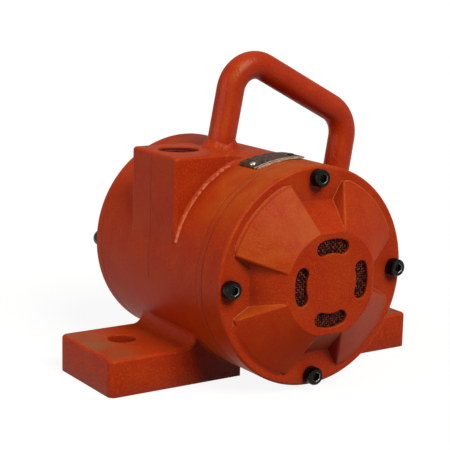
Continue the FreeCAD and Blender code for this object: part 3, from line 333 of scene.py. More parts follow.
# %% [markdown]
# ## Machined and ground metals
#
# The rotor, the bearings, the nozzle and the screws were turned, ground or blackened. Turning leaves fine
# rings and grinding finer ones still. A noise squeezed along the axis gives such rings on anything that is
# round about Y, and it is drawn a little coarser than the real feed so that it can be seen at all.

# %% Mix the metals
RING_SQUEEZE = (0.02, 1.0, 0.02)
RING_HEIGHT = 0.03 * MM


def machined(name, dark, light, roughness, feed_mm):
    """Make a bare metal with rings along the rotor's axis, feed_mm apart."""
    material, tree = new_material(name)
    place = add_node(tree, "ShaderNodeTexCoord").outputs["Object"]
    squeezed = add_node(tree, "ShaderNodeVectorMath", {0: place, 1: RING_SQUEEZE}, operation="MULTIPLY")
    rings = add_node(tree, "ShaderNodeTexNoise", {
        "Vector": squeezed.outputs[0], "Scale": per_metre(feed_mm), "Detail": 2.0})
    tone = add_node(tree, "ShaderNodeMix", {
        0: rings.outputs["Fac"], 6: linear(dark), 7: linear(light)}, data_type="RGBA")
    polish = add_node(tree, "ShaderNodeMapRange", {
        "Value": rings.outputs["Fac"], "To Min": roughness * 0.7, "To Max": roughness * 1.3})
    bump = add_node(tree, "ShaderNodeBump", {"Height": rings.outputs["Fac"], "Distance": RING_HEIGHT})
    shader = add_node(tree, "ShaderNodeBsdfPrincipled", {
        "Base Color": tone.outputs[2], "Metallic": 1.0, "Roughness": polish.outputs[0],
        "Normal": bump.outputs[0]})
    add_node(tree, "ShaderNodeOutputMaterial", {"Surface": shader.outputs[0]})
    return material


ground_steel = machined("ground_bearing_steel", "#B9BABD", "#D8D9DB", 0.18, 0.6)
turned_steel = machined("turned_alloy_steel", "#8F9092", "#B4B5B7", 0.32, 0.9)
sawn_steel = machined("sawn_carbon_steel", "#77777A", "#98989B", 0.45, 1.4)
milled_aluminium = machined("milled_aluminium", "#C3C5C8", "#DCDDDF", 0.3, 0.9)
turned_brass = machined("turned_brass", "#B88A3A", "#D6AE5C", 0.25, 0.8)
blued_spring_steel = machined("blued_spring_steel", "#3A3E4A", "#5B6070", 0.3, 0.8)
black_oxide = machined("black_oxide_alloy_steel", "#141412", "#2C2C27", 0.3, 1.2)
bright_steel = machined("bright_rivet_steel", "#C8C4BC", "#E6E2DA", 0.2, 0.8)
print("eight metals mixed, from", ground_steel.name, "to", bright_steel.name)

# %% [markdown]
# ## Fibre gasket, painted shade and metal wool
#
# The gaskets are cut from fibre sheet, and the spray gun caught their edges, so they show as dark orange
# lines. The parting seam and the thread of the port are just as dark, a painted shade for the shadow along
# the seam and inside the port. The muffler is packed metal wool, nearly black with exhaust dirt.

# %% Mix the dull materials
def dull(name, dark, light, roughness, patch_mm, depth_mm=0.1, shine=0.5):
    """Make a material that drifts between two tones over patch_mm."""
    material, tree = new_material(name)
    place = add_node(tree, "ShaderNodeTexCoord").outputs["Object"]
    patches = add_node(tree, "ShaderNodeTexNoise", {
        "Vector": place, "Scale": per_metre(patch_mm), "Detail": 5.0, "Roughness": 0.65})
    spread = add_node(tree, "ShaderNodeMapRange", {
        "Value": patches.outputs["Fac"], "From Min": 0.35, "From Max": 0.65})
    tone = add_node(tree, "ShaderNodeMix", {
        0: spread.outputs[0], 6: linear(dark), 7: linear(light)}, data_type="RGBA")
    bump = add_node(tree, "ShaderNodeBump", {"Height": patches.outputs["Fac"], "Distance": depth_mm * MM})
    shader = add_node(tree, "ShaderNodeBsdfPrincipled", {
        "Base Color": tone.outputs[2], "Roughness": roughness, "Specular IOR Level": shine,
        "Normal": bump.outputs[0]})
    add_node(tree, "ShaderNodeOutputMaterial", {"Surface": shader.outputs[0]})
    return material


oversprayed_fibre = dull("oversprayed_fibre_sheet", "#6A200C", "#862C10", 0.7, 4)
seam_shade_enamel = dull("enamel_painted_seam_shade", "#4C1407", "#6E200D", 0.5, 3)
shaded_thread_iron = dull("tapped_iron_painted_shade", "#4A0E05", "#7A1D0B", 0.7, 3, shine=0.2)
sooty_wool = dull("sooty_metal_wool", "#040303", "#170B07", 0.8, 1.6, depth_mm=0.8)
print("four dull materials mixed, from", oversprayed_fibre.name, "to", sooty_wool.name)

# %% [markdown]
# ## The wire of the screen
#
# The spray gun reached the screen through the slots. The crests of the wires, which lie nearest to the
# slots, shine a little and are painted bright, partly with the paint they caught and partly as a painted
# glint of the light through the slots; the rest is nearly black. How far a point lies along Y tells a crest
# from a hollow, and a noise leaves some crests bare.

# %% Mix the wire
WIRE_DARK = "#280603"
WIRE_PAINT_AND_GLINT = "#DC5630"
BARE_PATCH_MM = 2.5
CREST_FROM = 0.2 * MM
CREST_SHORT = 0.05 * MM
screen_low, screen_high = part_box("exhaust_screen")
screen_middle = (screen_low.y + screen_high.y) / 2

glinting_wire, tree = new_material("steel_wire_painted_glints")
place = add_node(tree, "ShaderNodeTexCoord").outputs["Object"]
along = add_node(tree, "ShaderNodeSeparateXYZ", {0: place})
crest = add_node(tree, "ShaderNodeMapRange", {
    "Value": along.outputs["Y"], "From Min": screen_middle - CREST_FROM,
    "From Max": screen_low.y + CREST_SHORT})
patches = add_node(tree, "ShaderNodeTexNoise", {
    "Vector": place, "Scale": per_metre(BARE_PATCH_MM), "Detail": 3.0})
caught_and_glinting = add_node(tree, "ShaderNodeMapRange", {
    "Value": patches.outputs["Fac"], "From Min": 0.4, "From Max": 0.6})
# Bright crests: partly caught paint, partly a painted glint.
painted_and_glinting = add_node(tree, "ShaderNodeMath", {0: crest.outputs[0], 1: caught_and_glinting.outputs[0]}, operation="MULTIPLY")
tone = add_node(tree, "ShaderNodeMix", {
    0: painted_and_glinting.outputs[0], 6: linear(WIRE_DARK), 7: linear(WIRE_PAINT_AND_GLINT)}, data_type="RGBA")
shader = add_node(tree, "ShaderNodeBsdfPrincipled", {
    "Base Color": tone.outputs[2], "Metallic": 0.2, "Roughness": 0.4, "Specular IOR Level": 0.15})
add_node(tree, "ShaderNodeOutputMaterial", {"Surface": shader.outputs[0]})
print("screen lies at Y", round(screen_middle / MM, 1), "mm")

# %% [markdown]
# ## The nameplate's sheet
#
# The plate is thin aluminium, gone dull and warm in colour. Its middle has a dark film, and its front
# border is bare metal with one dark line. The film is flat, so it is a change of finish and needs no
# geometry: the mask comes from how far along the barrel a point lies.

# %% Mix the nameplate's sheet
LIGHT_EDGE = 2.2 * MM
DARK_LINE = 1.0 * MM
LIGHT_BORDER = 2.0 * MM
SHEET_DULL = "#9A7A64"
SHEET_BRIGHT = "#E2C8B4"
FILM_DARK = "#120A06"
FILM_WORN = "#5E4634"
STAIN_MM = 2.4
sheet_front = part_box("nameplate")[0].y
line_middle = sheet_front + LIGHT_EDGE + DARK_LINE / 2
film_front = sheet_front + LIGHT_EDGE + DARK_LINE + LIGHT_BORDER

nameplate_sheet, tree = new_material("printed_aluminium_sheet")
place = add_node(tree, "ShaderNodeTexCoord").outputs["Object"]
along = add_node(tree, "ShaderNodeSeparateXYZ", {0: place})
stains = add_node(tree, "ShaderNodeTexNoise", {
    "Vector": place, "Scale": per_metre(STAIN_MM), "Detail": 5.0, "Roughness": 0.7})
blotches = add_node(tree, "ShaderNodeMapRange", {
    "Value": stains.outputs["Fac"], "From Min": 0.44, "From Max": 0.6})
bare = add_node(tree, "ShaderNodeMix", {
    0: blotches.outputs[0], 6: linear(SHEET_DULL), 7: linear(SHEET_BRIGHT)}, data_type="RGBA")
film = add_node(tree, "ShaderNodeMix", {
    0: blotches.outputs[0], 6: linear(FILM_DARK), 7: linear(FILM_WORN)}, data_type="RGBA")
filmed = add_node(tree, "ShaderNodeMath", {0: along.outputs["Y"], 1: film_front}, operation="GREATER_THAN")
line = add_node(tree, "ShaderNodeMath", {
    0: along.outputs["Y"], 1: line_middle, 2: DARK_LINE / 2}, operation="COMPARE")
covered = add_node(tree, "ShaderNodeMath", {0: filmed.outputs[0], 1: line.outputs[0]}, operation="MAXIMUM")
tone = add_node(tree, "ShaderNodeMix", {
    0: covered.outputs[0], 6: bare.outputs[2], 7: film.outputs[2]}, data_type="RGBA")
metal = add_node(tree, "ShaderNodeMapRange", {"Value": covered.outputs[0], "To Min": 0.3, "To Max": 0.0})
shader = add_node(tree, "ShaderNodeBsdfPrincipled", {
    "Base Color": tone.outputs[2], "Metallic": metal.outputs[0], "Roughness": 0.45, "Specular IOR Level": 0.2})
add_node(tree, "ShaderNodeOutputMaterial", {"Surface": shader.outputs[0]})
print("nameplate starts at Y", round(sheet_front / MM, 1), "mm")

# %% [markdown]
# ## Every node gets its finish
#
# Each CAD node has one material slot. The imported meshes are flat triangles, so they are also shaded smooth
# by angle: round faces turn smooth and machined edges stay crisp. The handle gets a wide angle, which melts
# its welds into the bar as the paint does.

# %% Dress the CAD nodes
def shade_by_angle(piece, degrees=30):
    """Smooth a mesh but keep edges sharper than the angle."""
    mesh = piece.data
    mesh.polygons.foreach_set("use_smooth", [True] * len(mesh.polygons))
    mesh.set_sharp_from_angle(angle=math.radians(degrees))


finishes = {
    cast_enamel: ["main_housing", "front_cover", "rear_cover", "front_bearing_plate", "rear_cover_gasket"],
    bar_enamel: ["carry_handle"],
    oversprayed_fibre: ["front_cover_gasket", "bearing_plate_gasket"],
    black_oxide: ["front_cover_screws", "rear_cover_screws"],
    sooty_wool: ["muffler_pad"],
    glinting_wire: ["exhaust_screen"],
    blued_spring_steel: ["preload_washer", "rotor_snap_ring"],
    turned_steel: ["rotor_shaft", "rotor_key"],
    milled_aluminium: ["turbine_wheel"],
    sawn_steel: ["front_eccentric_weight", "rear_eccentric_weight"],
    turned_brass: ["air_nozzle", "front_bearing_cage", "rear_bearing_cage"],
    nameplate_sheet: ["nameplate"],
    bright_steel: ["nameplate_rivets"],
    ground_steel: [f"{end}_bearing_{piece}" for end in ("front", "rear")
                   for piece in ("outer_ring", "inner_ring", "rollers")],
}
for finish, names in finishes.items():
    for name in names:
        nodes[name].data.materials.clear()
        nodes[name].data.materials.append(finish)
        shade_by_angle(nodes[name])
shade_by_angle(nodes["carry_handle"], degrees=70)
print(sum(len(names) for names in finishes.values()), "of", len(nodes), "nodes have a finish")

# %% [markdown]
# ## Helpers for meshes
#
# New pieces are made from points and faces in the machine's frame. Each rides on the housing, so it moves
# with it, and takes a material slot. All of them are stacks of rings, which is how a lathe or a loft makes
# a shape: each ring has as many points as the next, and quads join them.

# %% Define the piece helpers
def make_piece(name, points, faces, material):
    """Make a mesh object that rides on the housing."""
    mesh = bpy.data.meshes.new(name)
    mesh.from_pydata(points, [], faces)
    mesh.validate()
    made = bpy.data.objects.new(name, mesh)
    bpy.context.scene.collection.objects.link(made)
    made.data.materials.append(material)
    shade_by_angle(made, degrees=40)
    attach(made, "housing")
    print(name, "has", len(mesh.polygons), "faces")
    return made


def turns_round(count):
    """Give evenly spaced angles, once round."""
    return [2 * math.pi * step / count for step in range(count)]


def skin_rings(rings, start=0):
    """Join closed rings with quads and cap both ends."""
    points = [point for ring in rings for point in ring]
    count = len(rings[0])
    faces = []
    for level in range(len(rings) - 1):
        for index in range(count):
            after = (index + 1) % count
            low, high = start + level * count, start + (level + 1) * count
            faces.append((low + index, low + after, high + after, high + index))
    last = start + (len(rings) - 1) * count
    faces.append(tuple(start + index for index in reversed(range(count))))
    faces.append(tuple(last + index for index in range(count)))
    return points, faces


def skin_stacks(stacks):
    """Skin several stacks of rings as one mesh."""
    all_points, all_faces = [], []
    for rings in stacks:
        points, faces = skin_rings(rings, len(all_points))
        all_points += points
        all_faces += faces
    return all_points, all_faces


print("two rings of four points have", len(skin_rings([turns_round(4)] * 2)[1]), "faces")

# %% [markdown]
# ## The woven screen behind the slots
#
# Behind the slots lies a disc of woven wire that keeps the wool in. Wires in two directions pass over and
# under each other, so each one is a tube along a cosine wave, and its neighbour's wave is half a turn out
# of step. A little noise bends the wires, because the real cloth is soft and was pressed in by hand.

# %% Weave the screen
EDGE_ROOM = 0.3 * MM
SCREEN_RADIUS = (screen_high.x - screen_low.x) / 2 - EDGE_ROOM
PITCH = 1.8 * MM
WIRE_RADIUS = 0.29 * MM
SWING = (screen_high.y - screen_low.y) / 2 - WIRE_RADIUS
WANDER = 0.6 * MM
WANDER_LENGTH = 4 * MM
UPRIGHT_SHIFT = 20 * MM
CROWDING = 0.98
SIDES = 5


def woven_wire(offset, phase, upright):
    """Lay one wire across the disc as a stack of rings."""
    reach = math.sqrt(SCREEN_RADIUS ** 2 - offset ** 2)
    steps = max(8, int(2 * reach / (PITCH / 3)))
    rings = []
    for step in range(steps + 1):
        along = -reach + 2 * reach * step / steps
        bend = noise.noise(Vector((along, offset, UPRIGHT_SHIFT if upright else 0.0)) / WANDER_LENGTH)
        depth = SWING * math.cos(math.pi * along / PITCH + phase)
        ring = []
        for turn in turns_round(SIDES):
            across = offset * CROWDING + WANDER * bend + WIRE_RADIUS * math.cos(turn)
            y = screen_middle + depth + WIRE_RADIUS * math.sin(turn)
            ring.append((across, y, axis_height + along) if upright else (along, y, axis_height + across))
        rings.append(ring)
    return rings


wires = []
wire_count = int(SCREEN_RADIUS / PITCH)
for upright in (True, False):
    for index in range(-wire_count, wire_count + 1):
        phase = math.pi * (index % 2) + (0 if upright else math.pi)
        wires.append(woven_wire(index * PITCH, phase, upright))
points, faces = skin_stacks(wires)
woven_screen = make_piece("woven_screen", points, faces, glinting_wire)
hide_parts("exhaust_screen")

# %% [markdown]
# ## Knurled screw heads
#
# A socket head screw is cold headed, its side rolled with a straight knurl for the fingers. Every level of
# the screw is one ring: its radius ripples with the knurl along the side, is plain round at the chamfer,
# and follows a hexagon in the socket, whose mouth the keys have worn down to bare steel.

# %% Turn the screws
SCREWS = 4
HEAD_RADIUS = 6.5 * MM
HEAD_HEIGHT = 8.0 * MM
SHANK_RADIUS = 4.0 * MM
SOCKET_FLATS = 6.0 * MM
SOCKET_DEPTH = 4.0 * MM
DRILL_POINT = 0.8 * MM
KNURLS = 36
KNURL_DEPTH = 0.22 * MM
RING_POINTS = KNURLS * 4
WORN_MOUTH = 0.25 * MM
WORN_BAND = 8


def hexagon_radius(turn):
    """Give how far a hexagon's side lies from its centre in one direction."""
    off_flat = (turn + math.pi / 6) % (math.pi / 3) - math.pi / 6
    return SOCKET_FLATS / 2 / math.cos(off_flat)


def screw_rings(x, z, seat, outward, length):
    """Stack the rings of one screw, from the shank's end to the socket's floor."""
    def ring(radius_at, height):
        return [(x + radius_at(turn) * math.cos(turn), seat + outward * height,
                 z + radius_at(turn) * math.sin(turn)) for turn in turns_round(RING_POINTS)[::-outward]]

    def knurl(turn):
        return HEAD_RADIUS - KNURL_DEPTH * (0.5 - 0.5 * math.cos(KNURLS * turn))

    # The bare sizes here are the head's small roundings
    return [
        ring(lambda turn: SHANK_RADIUS, -length),
        ring(lambda turn: SHANK_RADIUS, 0),
        ring(lambda turn: HEAD_RADIUS - 0.5 * MM, 0),
        ring(lambda turn: HEAD_RADIUS - 0.3 * MM, 0.4 * MM),
        ring(knurl, 0.7 * MM),
        ring(knurl, HEAD_HEIGHT - 1.1 * MM),
        ring(lambda turn: HEAD_RADIUS - 0.3 * MM, HEAD_HEIGHT - 0.7 * MM),
        ring(lambda turn: HEAD_RADIUS - 0.9 * MM, HEAD_HEIGHT),
        ring(lambda turn: hexagon_radius(turn) + WORN_MOUTH, HEAD_HEIGHT),
        ring(hexagon_radius, HEAD_HEIGHT - WORN_MOUTH),
        ring(hexagon_radius, HEAD_HEIGHT - 1.0 * MM),
        ring(hexagon_radius, HEAD_HEIGHT - SOCKET_DEPTH),
        ring(lambda turn: 0.3 * MM, HEAD_HEIGHT - SOCKET_DEPTH - DRILL_POINT),
    ]


for node_name, outward in (("front_cover_screws", -1), ("rear_cover_screws", 1)):
    low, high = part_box(node_name)
    circle = (high.x - low.x) / 2 - HEAD_RADIUS
    seat = (low.y if outward < 0 else high.y) - outward * HEAD_HEIGHT
    length = abs((high.y if outward < 0 else low.y) - seat)
    screws = []
    for turn in turns_round(SCREWS):
        x, z = circle * math.cos(turn), axis_height + circle * math.sin(turn)
        screws.append(screw_rings(x, z, seat, outward, length))
    points, faces = skin_stacks(screws)
    knurled = make_piece("knurled_" + node_name, points, faces, black_oxide)
    knurled.data.materials.append(sawn_steel)
    for polygon in knurled.data.polygons:
        band = polygon.index % (len(faces) // SCREWS) // RING_POINTS
        polygon.material_index = 1 if band == WORN_BAND else 0
    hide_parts(node_name)

# %% [markdown]
# ## The port's thread
#
# The port is tapped for an air fitting, so its wall is a helix. A grid wrapped round the hole gives it:
# each point's radius follows a zigzag of its height minus its turn, which is what makes the ridges climb.
# Two plain rings behind it, inside the iron, close the skin.

# %% Cut the thread
PORT_CENTRE = Vector((-54.7 * MM, 0, 0))
PORT_RADIUS = 15.5 * MM
SLEEVE_RADIUS = 16.2 * MM
THREAD_PITCH = 2.2 * MM
THREAD_DEPTH = 0.8 * MM
THREAD_LENGTH = 22 * MM
THREAD_SETBACK = 1.2 * MM
TURN_STEPS = 96
PITCH_LEVELS = 8
LEVELS = int(THREAD_LENGTH / THREAD_PITCH * PITCH_LEVELS)
boss_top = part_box("main_housing")[1].z
thread_top = boss_top - THREAD_SETBACK
thread_rings = []
for level in range(LEVELS + 1):
    height = thread_top - THREAD_LENGTH * level / LEVELS
    fade = min(1, level / PITCH_LEVELS)
    ring = []
    for step, turn in enumerate(turns_round(TURN_STEPS)):
        climb = (height / THREAD_PITCH - step / TURN_STEPS) % 1
        radius = PORT_RADIUS - fade * THREAD_DEPTH * (1 - abs(2 * climb - 1))
        ring.append(PORT_CENTRE + Vector((radius * math.cos(turn), radius * math.sin(turn), height)))
    thread_rings.append(ring)
for height in (thread_top - THREAD_LENGTH, thread_top):
    thread_rings.append([
        PORT_CENTRE + Vector((SLEEVE_RADIUS * math.cos(turn), SLEEVE_RADIUS * math.sin(turn), height))
        for turn in turns_round(TURN_STEPS)])
thread_rings.append(thread_rings[0])
points, faces = skin_rings(thread_rings)
# The thread's dark enamel is a painted shade inside the port.
make_piece("port_thread", points, faces[:-2], shaded_thread_iron)

# %% [markdown]
# ## Domed rivets
#
# Drive rivets have a low round head that catches one bright spot of light. A dome is a stack of rings along
# a circle's arc, set on the plate's own bow, which is flatter than the barrel. The left one is bright steel,
# and the right one is given the screws' black oxide, so it catches no bright spot.

# %% Set the rivets
BOW_RADIUS = 100 * MM
BOW_TOUCH = math.radians(14)
PLATE_THICKNESS = 0.8 * MM
RIVET_ANGLES = (-17.1, 2.3)
RIVET_RADIUS = 2.6 * MM
RIVET_HEIGHT = 1.2 * MM
BLACK_FROM = -5 * MM
DOME_LEVELS = 9
DOME_STEP = math.pi / 2 / 8.4
DOME_SIDES = 24
ALONG_AXIS = Vector((0, 1, 0))
rivet_low, rivet_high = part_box("nameplate_rivets")
rivet_y = (rivet_low.y + rivet_high.y) / 2
bow_centre = Vector((-math.sin(BOW_TOUCH), 0, math.cos(BOW_TOUCH))) * (barrel_radius - BOW_RADIUS)
bow_centre += Vector((0, rivet_y, axis_height))


def dome_rings(angle):
    """Stack the rings of one rivet's head, at an angle from the top of the bow."""
    out = Vector((math.sin(angle), 0, math.cos(angle)))
    side = Vector((out.z, 0, -out.x))
    foot = bow_centre + out * (BOW_RADIUS + PLATE_THICKNESS)
    rings = []
    for level in range(DOME_LEVELS):
        radius = RIVET_RADIUS * math.cos(DOME_STEP * level)
        rise = RIVET_HEIGHT * math.sin(DOME_STEP * level)
        rings.append([foot + out * rise + side * radius * math.cos(turn) + ALONG_AXIS * radius * math.sin(turn)
                      for turn in turns_round(DOME_SIDES)])
    return rings


points, faces = skin_stacks([dome_rings(math.radians(angle)) for angle in RIVET_ANGLES])
domed_rivets = make_piece("domed_rivets", points, faces, bright_steel)
domed_rivets.data.materials.append(black_oxide)
for polygon in domed_rivets.data.polygons:
    polygon.material_index = 1 if polygon.center.x > BLACK_FROM else 0
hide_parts("nameplate_rivets")

# %% [markdown]
# ## The parting seam
#
# The two halves of the sand mould meet in a plane across the barrel, and where they did not quite match, a
# thin line of metal is left. It runs down the outer face of the port boss and the barrel's left side, a
# little uneven. Three points across make a low ridge, and noise varies its width. Its dark enamel is a
# painted shade along the ridge.

# %% Lay the parting seam
SEAM_Y = -2.0 * MM
SEAM_WIDTH = 0.45 * MM
SEAM_RISE = 0.25 * MM
SEAM_ROOT = 0.3 * MM
SEAM_RIPPLE = 3 * MM
SEAM_WANDER = 0.3 * MM
SEAM_WANDER_LENGTH = 12 * MM
SEAM_STEPS = 150
SEAM_SETBACK = 3.0 * MM
SEAM_END = -12 * MM
BOSS_FACE = 79.4 * MM
seam_top = boss_top - axis_height - SEAM_SETBACK
seam_rings = []
for step in range(SEAM_STEPS + 1):
    height = seam_top + (SEAM_END - seam_top) * step / SEAM_STEPS
    on_barrel = math.sqrt(barrel_radius ** 2 - height ** 2) if abs(height) < barrel_radius else 0
    out = max(BOSS_FACE, on_barrel)
    wobble = noise.noise(Vector((0, 0, height / SEAM_RIPPLE)))
    width = SEAM_WIDTH * (1 + 0.5 * wobble)
    middle = SEAM_Y + SEAM_WANDER * noise.noise(Vector((1, 0, height / SEAM_WANDER_LENGTH)))
    rise = SEAM_RISE * (1 + 0.6 * wobble)
    lift = axis_height + height
    seam_rings.append([
        (-out + SEAM_ROOT, middle - width, lift),
        (-out - rise, middle, lift),
        (-out + SEAM_ROOT, middle + width, lift),
    ])
points, faces = skin_rings(seam_rings)
# Dark enamel here: a painted shade along the seam.
make_piece("parting_seam", points, faces, seam_shade_enamel)

# %% [markdown]
# ## Paint over the joints
#
# The machine was sprayed after it was put together, so the enamel bridges the joints at its ends. At the
# front it sinks a little between their edges, and at the rear it is flush. Each bridge is a thin band round
# the axis: its cut is a low hollow on the outside and a straight line inside.

# %% Bridge the joints
BRIDGE_LAP = 1.0 * MM
BRIDGE_INSET = 0.03 * MM
BRIDGE_SINK = 0.22 * MM
BRIDGE_DEPTH = 1.2 * MM
BRIDGE_STEPS = 180


def joint_bridge(gasket, sink):
    """Lay a band of paint over the edge of one gasket."""
    low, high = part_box(gasket)
    middle, half = (low.y + high.y) / 2, (high.y - low.y) / 2 + BRIDGE_LAP
    outline = [(half * share, barrel_radius - BRIDGE_INSET - sink * (1 - share ** 2))
               for share in (-1, -0.5, 0, 0.5, 1)]
    outline += [(half, barrel_radius - BRIDGE_DEPTH), (-half, barrel_radius - BRIDGE_DEPTH)]
    rings = []
    for step in range(BRIDGE_STEPS + 1):
        turn = 2 * math.pi * step / BRIDGE_STEPS
        rings.append([(radius * math.cos(turn), middle + along, axis_height + radius * math.sin(turn))
                      for along, radius in outline])
    points, faces = skin_rings(rings)
    make_piece(gasket.replace("gasket", "joint_paint"), points, faces[:-2], cast_enamel)


joint_bridge("front_cover_gasket", BRIDGE_SINK)
joint_bridge("bearing_plate_gasket", BRIDGE_SINK)
joint_bridge("rear_cover_gasket", 0)

# %% [markdown]
# ## Paint at the foot of the lobes
#
# The lobes of both covers rise from the flat rim in a low step, and the enamel fills the corner of that
# step with a soft cove. On the front cover it ran down and fills the steps of the two lower lobes to the
# brim. A cove is one small cut in millimetres, swept along a lobe's arc, and it shrinks to nothing at both
# ends, where the screw pockets begin. The full cut's own edges lie well under the metal, where the Bevel
# node doesn't find them.

# %% Fill the lobes' steps
RIM_WIDTH = 8.4 * MM
LOBE_RADIUS = barrel_radius - RIM_WIDTH
LOBE_FROM = math.radians(18.8)
LOBE_TO = math.radians(71.2)
LOBE_STEPS = 60
TAPER_STEPS = 5
TAPER_END = 0.05
THIN_COVE = ((2.2, -0.02), (1.5, 0.04), (1.0, 0.16), (0.5, 0.42), (0.0, 0.82), (-0.55, 1.3), (-1.0, 1.0),
             (-0.6, -0.3), (2.2, -0.3))
FULL_COVE = ((5.6, -0.2), (3.4, -0.02), (2.6, 0.09), (1.8, 0.38), (1.0, 0.92), (0.0, 1.72), (-1.0, 2.42),
             (-1.8, 2.90), (-3.8, 3.85), (-4.0, 3.5), (-1.2, -0.5), (5.6, -0.5))


def lobe_cove(cut, quarter, rim, outward):
    """Sweep a cut along the step of one lobe."""
    rings = []
    for step in range(LOBE_STEPS + 1):
        turn = math.pi / 2 * quarter + LOBE_FROM + (LOBE_TO - LOBE_FROM) * step / LOBE_STEPS
        size = MM * max(TAPER_END, min(1, step / TAPER_STEPS, (LOBE_STEPS - step) / TAPER_STEPS))
        ring = []
        for wide, rise in cut[::outward]:
            radius = LOBE_RADIUS + size * wide
            ring.append((radius * math.cos(turn), rim + outward * size * rise,
                         axis_height + radius * math.sin(turn)))
        rings.append(ring)
    return rings


for cover, outward, lower_cut in (("front_cover", -1, FULL_COVE), ("rear_cover", 1, THIN_COVE)):
    low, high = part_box(cover + "_screws")
    rim = (low.y if outward < 0 else high.y) - outward * HEAD_HEIGHT
    cuts = (THIN_COVE, THIN_COVE, lower_cut, lower_cut)
    points, faces = skin_stacks([lobe_cove(cut, quarter, rim, outward) for quarter, cut in enumerate(cuts)])
    make_piece(cover + "_lobe_paint", points, faces, cast_enamel)

# %% [markdown]
# ## Where the port boss runs out
#
# The top of the port boss slopes down into the barrel on the side of the handle, with the same rounded
# front edge and cove as the boss itself. The slope is a Hermite curve, level at the boss and along the
# barrel at its other end. Each ring is a cut at one x: a cove, a face, a rounded edge, the top, and the
# same in reverse. The first rings lie inside the boss, so that no line shows where the slope starts.

# %% Run out the boss
BOSS_START = -37.5 * MM
BOSS_END = -33.0 * MM
RUN_OUT_END = -15.0 * MM
BOSS_FRONT = -36.45 * MM
BOSS_REAR = 26.95 * MM
BOSS_COVE = 3.0 * MM
BOSS_EDGE = 1.8 * MM
ROUND_SHARE = 0.45
LEAST_RISE = 0.02 * MM
UNDER_TOP = 0.05 * MM
ROUND_STEPS = 6
START_SINK = 0.8 * MM
ROOT_DEPTH = 1.2 * MM
ROOT_OUT = 0.3 * MM
RUN_OUT_STEPS = 40


def barrel_height(x):
    """Give the height of the barrel's top at one x."""
    return axis_height + math.sqrt(barrel_radius ** 2 - x ** 2)


def run_out_height(x):
    """Give the height of the slope between the boss and the barrel."""
    if x <= BOSS_END:
        return boss_top - UNDER_TOP
    share = min(1, (x - BOSS_END) / (RUN_OUT_END - BOSS_END))
    drop = 3 * share ** 2 - 2 * share ** 3
    tilt = (share ** 3 - share ** 2) * (RUN_OUT_END - BOSS_END)
    end_slope = -RUN_OUT_END / math.sqrt(barrel_radius ** 2 - RUN_OUT_END ** 2)
    return boss_top * (1 - drop) + barrel_height(RUN_OUT_END) * drop + tilt * end_slope


def run_out_ring(x):
    """Cut the slope at one x, from the front cove over the top to the rear cove."""
    base = barrel_height(x)
    sunk = START_SINK * max(0, (BOSS_END - x) / (BOSS_END - BOSS_START))
    rise = max(LEAST_RISE, run_out_height(x) - base - sunk)
    cove, edge = min(BOSS_COVE, ROUND_SHARE * rise), min(BOSS_EDGE, ROUND_SHARE * rise)
    turns = [math.pi / 2 * step / ROUND_STEPS for step in range(ROUND_STEPS + 1)]
    half = [(-cove - ROOT_OUT, -ROOT_DEPTH), (-cove, -0.1 * MM)]
    half += [(-cove + cove * math.sin(turn), cove - cove * math.cos(turn)) for turn in turns]
    half += [(edge - edge * math.cos(turn), rise - edge + edge * math.sin(turn)) for turn in turns]
    front = [(x, BOSS_FRONT + sunk + inward, base + height) for inward, height in half]
    rear = [(x, BOSS_REAR - sunk - inward, base + height) for inward, height in reversed(half)]
    return front + rear


run_out_rings = [run_out_ring(BOSS_START + (RUN_OUT_END - BOSS_START) * step / RUN_OUT_STEPS)
                 for step in range(RUN_OUT_STEPS + 1)]
points, faces = skin_rings(run_out_rings)
make_piece("boss_run_out", points, faces, cast_enamel)

# %% [markdown]
# ## The ragged line along the boss's cove
#
# Where the mould's pieces met beside the port boss, a ragged line of metal was left in its cove. Its crest
# is painted pale, a painted highlight where the cove catches the light. It is a low ridge like the parting
# seam, laid round the barrel on the cove's own curve. Where the noise is low it dips under the paint, which
# breaks it into short runs.

# %% Lay the ragged line
RIDGE_FROM = math.radians(75)
RIDGE_TO = math.radians(24)
RIDGE_STEPS = 200
RIDGE_WIDTH = 1.1 * MM
RIDGE_RISE = 0.3 * MM
RIDGE_SINK = 0.3 * MM
RIDGE_MEAN = 0.85
RIDGE_DIP = 0.4
RIDGE_LUMP = 2.5 * MM
RIDGE_WANDER = 0.4 * MM
RIDGE_WANDER_LENGTH = 9 * MM
FADE_STEPS = RIDGE_STEPS / 6
# Its pale tone is a painted highlight along the cove.
cove_ridge_highlight = dull("enamel_painted_cove_highlight", "#AA340E", "#C86636", 0.5, 2.5)


def cove_height(out_by):
    """Give how far the cove lies above the barrel, out_by in front of the boss."""
    inward = min(BOSS_COVE, max(0, BOSS_COVE - out_by))
    return BOSS_COVE - math.sqrt(BOSS_COVE ** 2 - inward ** 2)


ridge_rings = []
for step in range(RIDGE_STEPS + 1):
    turn = RIDGE_FROM + (RIDGE_TO - RIDGE_FROM) * step / RIDGE_STEPS
    run = barrel_radius * turn
    lump = noise.noise(Vector((run / RIDGE_LUMP, 0, 3)))
    middle = BOSS_COVE / 2 + RIDGE_WANDER * noise.noise(Vector((run / RIDGE_WANDER_LENGTH, 4, 0)))
    fade = min(1, step / FADE_STEPS, (RIDGE_STEPS - step) / FADE_STEPS)
    rise = RIDGE_RISE * ((RIDGE_MEAN + lump) * fade - RIDGE_DIP)
    ring = []
    for share in (1, 0.5, 0, -0.5, -1):
        out_by = middle - RIDGE_WIDTH * (1 + 0.4 * lump) * share
        radius = barrel_radius + cove_height(out_by) - RIDGE_SINK + (rise + RIDGE_SINK) * (1 - share ** 2)
        ring.append((-radius * math.sin(turn), BOSS_FRONT - out_by, axis_height + radius * math.cos(turn)))
    ridge_rings.append(ring)
points, faces = skin_rings(ridge_rings)
make_piece("cove_ridge", points, faces, cove_ridge_highlight)

